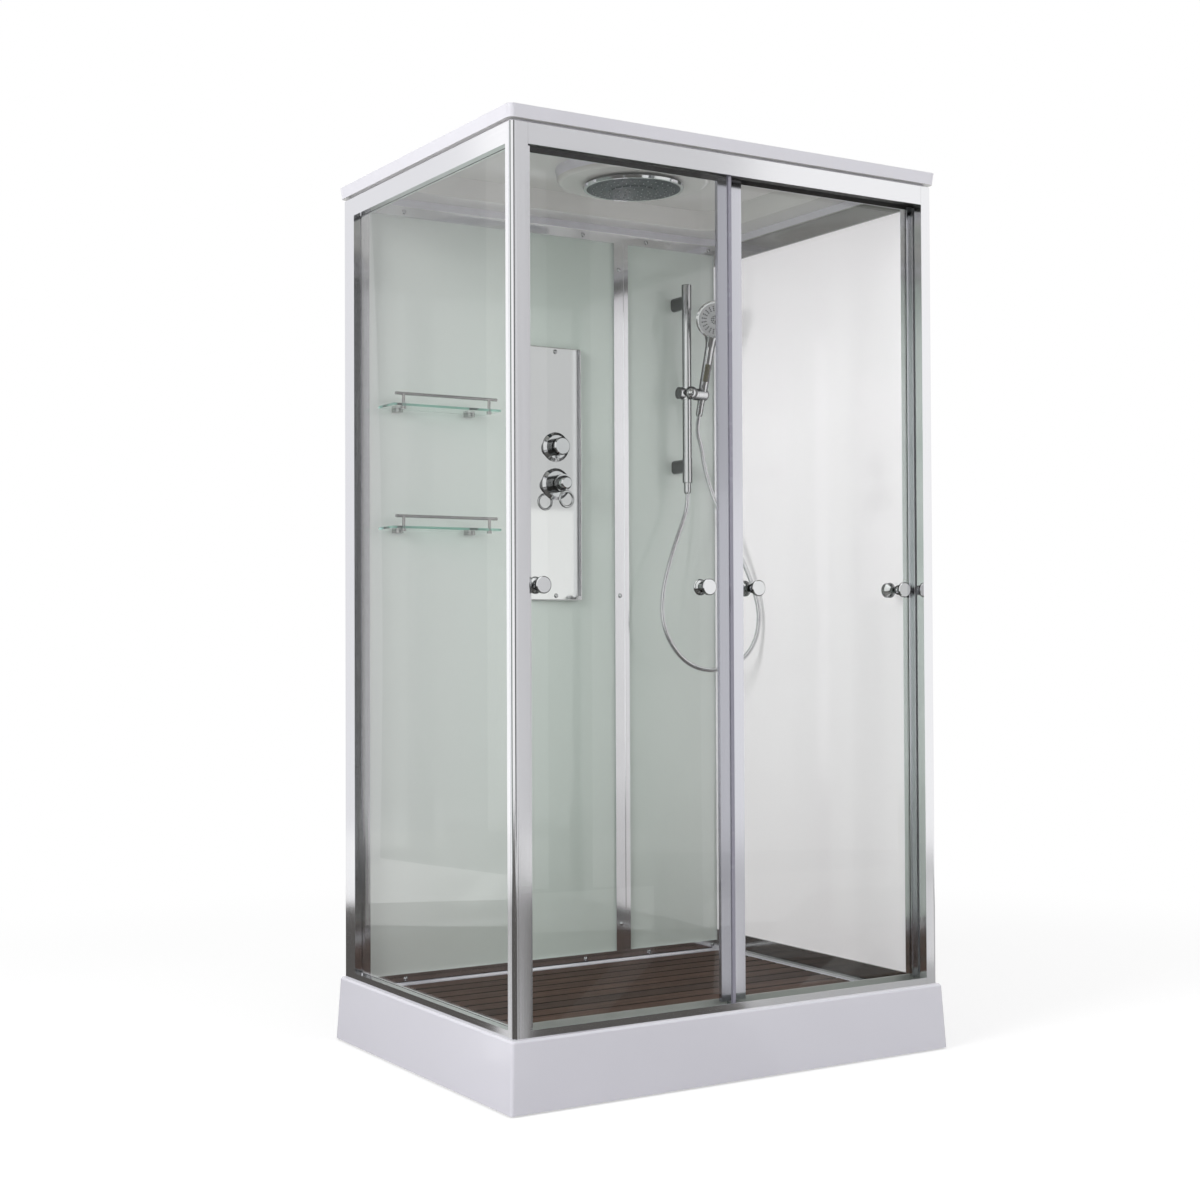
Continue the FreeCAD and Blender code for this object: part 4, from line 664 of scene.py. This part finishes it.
def wound_tube(name, points):
    """Tube with a rib at every second point, as a mesh at the origin."""
    tube = bpy.data.curves.new(name, "CURVE")
    tube.dimensions = "3D"
    tube.bevel_depth = hose_diameter / 2
    tube.bevel_resolution = 3
    tube.use_fill_caps = True
    run = tube.splines.new("POLY")
    run.points.add(len(points) - 1)
    for index, (point, place) in enumerate(zip(run.points, points)):
        point.co = (*place, 1.0)
        point.radius = 1.0 if index % 2 else groove_share
    piece = bpy.data.objects.new(name, tube)
    bpy.context.collection.objects.link(piece)
    bpy.ops.object.select_all(action="DESELECT")
    piece.select_set(True)
    bpy.context.view_layer.objects.active = piece
    bpy.ops.object.convert(target="MESH")
    bpy.ops.object.shade_smooth_by_angle(angle=math.radians(60))
    return bpy.context.object


def nearest(points, spot):
    """Index of the point nearest to a spot."""
    return min(range(len(points)), key=lambda index: (points[index] - Vector(spot)).length)


steps = even_steps(hose_line, rib_pitch / 2)
loop_start, loop_end = nearest(steps, loop_first), nearest(steps, loop_last)
hose_runs = {"hose_drop": steps[:loop_start + 1], "hose_loop": steps[loop_start:loop_end + 1],
             "hose_top": steps[loop_end:]}
hose_steel = skin_material(
    "hose_steel", (0.74, 0.74, 0.76), shade=0.15, size=200.0, gloss=(0.10, 0.22), bump=0.05, settings=metal)
hose = {}
for name, run in hose_runs.items():
    piece = wound_tube(name, run)
    piece.data.materials.append(hose_steel)
    hose[name] = piece
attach(hose["hose_drop"], "cabin")
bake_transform(hose["hose_loop"])
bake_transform(hose["hose_top"])
for piece in hose.values():
    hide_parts("shower_hose")


# Studio floor and room: a pale matt floor that keeps the cabin's shadow and fades into a white room.
# What the eye sees of both, directly, in metal or through glass, is brighter than the light they give.
def seen_directly(tree):
    """1 for rays from the camera, from a mirror or through glass, else 0."""
    path = tree.nodes.new("ShaderNodeLightPath").outputs
    mirrored = calc(tree, "MAXIMUM", path["Is Glossy Ray"], path["Is Transmission Ray"])
    return calc(tree, "MAXIMUM", mirrored, path["Is Camera Ray"])


def floor_material():
    """Grey paint with a lift to near white, which turns pure white away from the cabin."""
    material, shader = shader_of("floor_paint")
    tree = material.node_tree
    fade_near, fade_far, brightness_lift = 1.3, 3.2, 0.54
    shader.inputs["Base Color"].default_value = (0.60, 0.60, 0.60, 1.0)
    shader.inputs["Roughness"].default_value = 0.9
    shader.inputs["Specular IOR Level"].default_value = 0.0
    seen = seen_directly(tree)
    lift = tree.nodes.new("ShaderNodeEmission")
    tree.links.new(calc(tree, "MULTIPLY", seen, brightness_lift), lift.inputs["Strength"])
    lit = tree.nodes.new("ShaderNodeAddShader")
    tree.links.new(shader.outputs["BSDF"], lit.inputs[0])
    tree.links.new(lift.outputs["Emission"], lit.inputs[1])
    distance = tree.nodes.new("ShaderNodeVectorMath")
    distance.operation = "LENGTH"
    tree.links.new(object_axes(tree)[0], distance.inputs[0])
    fade = spread(tree, distance.outputs["Value"], 0.0, 1.0, fade_near, fade_far)
    fade.node.interpolation_type = "SMOOTHSTEP"
    white = tree.nodes.new("ShaderNodeEmission")
    choose_shader(tree, calc(tree, "MULTIPLY", seen, fade), lit.outputs["Shader"], white.outputs["Emission"])
    return material


bpy.ops.mesh.primitive_plane_add(size=60.0, location=(0.0, 0.0, 0.0))
floor = bpy.context.object
floor.name = "floor"
floor.data.materials.append(floor_material())
room_light, room_seen = 0.42, 1.0
world = bpy.data.worlds.new("white_room")
bpy.context.scene.world = world
world.use_nodes = True
room = world.node_tree.nodes["Background"]
room.inputs["Color"].default_value = (1.0, 1.0, 1.0, 1.0)
strength = spread(world.node_tree, seen_directly(world.node_tree), room_light, room_seen)
world.node_tree.links.new(strength, room.inputs["Strength"])


# Studio cards: plain grey and white boards round the cabin and flat on the floor.
# Only polished metal and glass mirror them; they give no light and no shadow.
def grey_card(name, width, depth, place, turn, tone):
    """Flat board of one tone that is seen only in polished surfaces."""
    bpy.ops.mesh.primitive_plane_add(size=1.0, location=place, rotation=turn)
    card = bpy.context.object
    card.name = name
    card.scale = (width, depth, 1.0)
    paint = shader_of(name)[0]
    tree = paint.node_tree
    glow = tree.nodes.new("ShaderNodeEmission")
    glow.inputs["Color"].default_value = (*tone, 1.0)
    tree.links.new(glow.outputs["Emission"], tree.nodes["Material Output"].inputs["Surface"])
    card.data.materials.append(paint)
    card.visible_camera = False
    card.visible_diffuse = False
    card.visible_transmission = False
    card.visible_shadow = False


camera_yaw, floor_skew = math.radians(31.65), math.radians(22.6)
facing_front = (math.pi / 2, 0.0, 0.0)
facing_side = (math.pi / 2, 0.0, math.pi / 2)
facing_view = (math.pi / 2, 0.0, camera_yaw)
on_floor, on_floor_skew = (0.0, 0.0, camera_yaw), (0.0, 0.0, floor_skew)
grey_card("front_card", 2.6, 6.0, (2.1, -5.0, 2.5), facing_front, (0.68, 0.68, 0.69))
grey_card("bright_card", 0.85, 1.75, (3.18, -4.97, 0.88), facing_front, (0.98, 0.98, 0.98))
grey_card("dark_card", 2.9, 5.0, (0.15, -4.9, 2.5), facing_front, (0.14, 0.14, 0.14))
grey_card("slim_card", 0.16, 2.45, (0.50, -2.0, 1.225), facing_front, (0.04, 0.04, 0.04))
grey_card("left_card", 5.0, 7.0, (-5.0, 2.0, 2.5), facing_side, (0.22, 0.25, 0.235))
grey_card("back_card", 3.4, 7.0, (-3.3, 4.5, 2.5), facing_view, (0.86, 0.86, 0.88))
grey_card("back_strip", 0.3, 7.0, (-3.27, 4.45, 2.5), facing_view, (1.2, 1.2, 1.2))
grey_card("floor_card", 9.0, 6.5, (-1.95, -1.15, 0.002), on_floor_skew, (0.10, 0.095, 0.09))
grey_card("floor_card_right", 2.8, 3.8, (1.43, 0.05, 0.004), on_floor, (0.46, 0.46, 0.46))
grey_card("floor_card_far", 1.6, 2.2, (2.16, -2.85, 0.004), on_floor, (0.58, 0.58, 0.58))


def floor_strip(name, start, end, tone):
    """Narrow pale card on the floor from one spot to another, where one upright mirrors it."""
    strip_width, strip_level = 0.12, 0.006
    run = Vector(end) - Vector(start)
    middle = (Vector(start) + Vector(end)) / 2
    turn = math.atan2(run.y, run.x) - math.pi / 2
    grey_card(name, strip_width, run.length, (middle.x, middle.y, strip_level), (0.0, 0.0, turn),
              (tone, tone, tone))


floor_strip("strip_post_left", (-0.90, 0.10), (-2.45, 2.92), 0.76)
floor_strip("strip_post_front", (-0.32, -0.96), (1.84, -4.85), 0.45)
floor_strip("strip_stile", (0.55, -1.20), (1.63, -2.70), 0.90)
floor_strip("strip_post_right", (1.36, -1.29), (2.63, -2.70), 0.78)


# Studio lamps: three large soft boxes, to the left, in front on the right, and above.
# The metal doesn't mirror them.
def soft_lamp(name, place, aim, size, power):
    """Square area lamp that points at a spot and leaves no bright patch in the metal."""
    bpy.ops.object.light_add(type="AREA", location=place)
    lamp = bpy.context.object
    lamp.name = name
    lamp.data.size = size
    lamp.data.energy = power
    lamp.rotation_euler = (Vector(aim) - Vector(place)).to_track_quat("-Z", "Y").to_euler()
    lamp.visible_glossy = False


cabin_middle, floor_middle = (0.0, 0.0, 1.0), (0.0, 0.0, 0.0)
soft_lamp("key_lamp", (-5.0, -1.2, 2.6), cabin_middle, size=2.4, power=150.0)
soft_lamp("fill_lamp", (2.8, -4.6, 2.6), cabin_middle, size=2.6, power=72.0)
soft_lamp("top_lamp", (0.0, 0.0, 5.5), floor_middle, size=3.0, power=60.0)

# Camera: at the photograph's viewing angle, from the front left at chest height.
# Its place, turn and lens were fitted to the cabin's corners.
camera_pitch, camera_roll = math.radians(1.096), math.radians(-0.247)
bpy.ops.object.camera_add(location=(-2.4537, -3.8167, 1.0001))
camera = bpy.context.object
level_aim = Euler((math.pi / 2 + camera_pitch, 0.0, -camera_yaw)).to_matrix()
camera.rotation_euler = (level_aim @ Matrix.Rotation(camera_roll, 3, "Z")).to_euler()
camera.data.sensor_width = 36.0
camera.data.lens = 55.37
bpy.context.scene.camera = camera
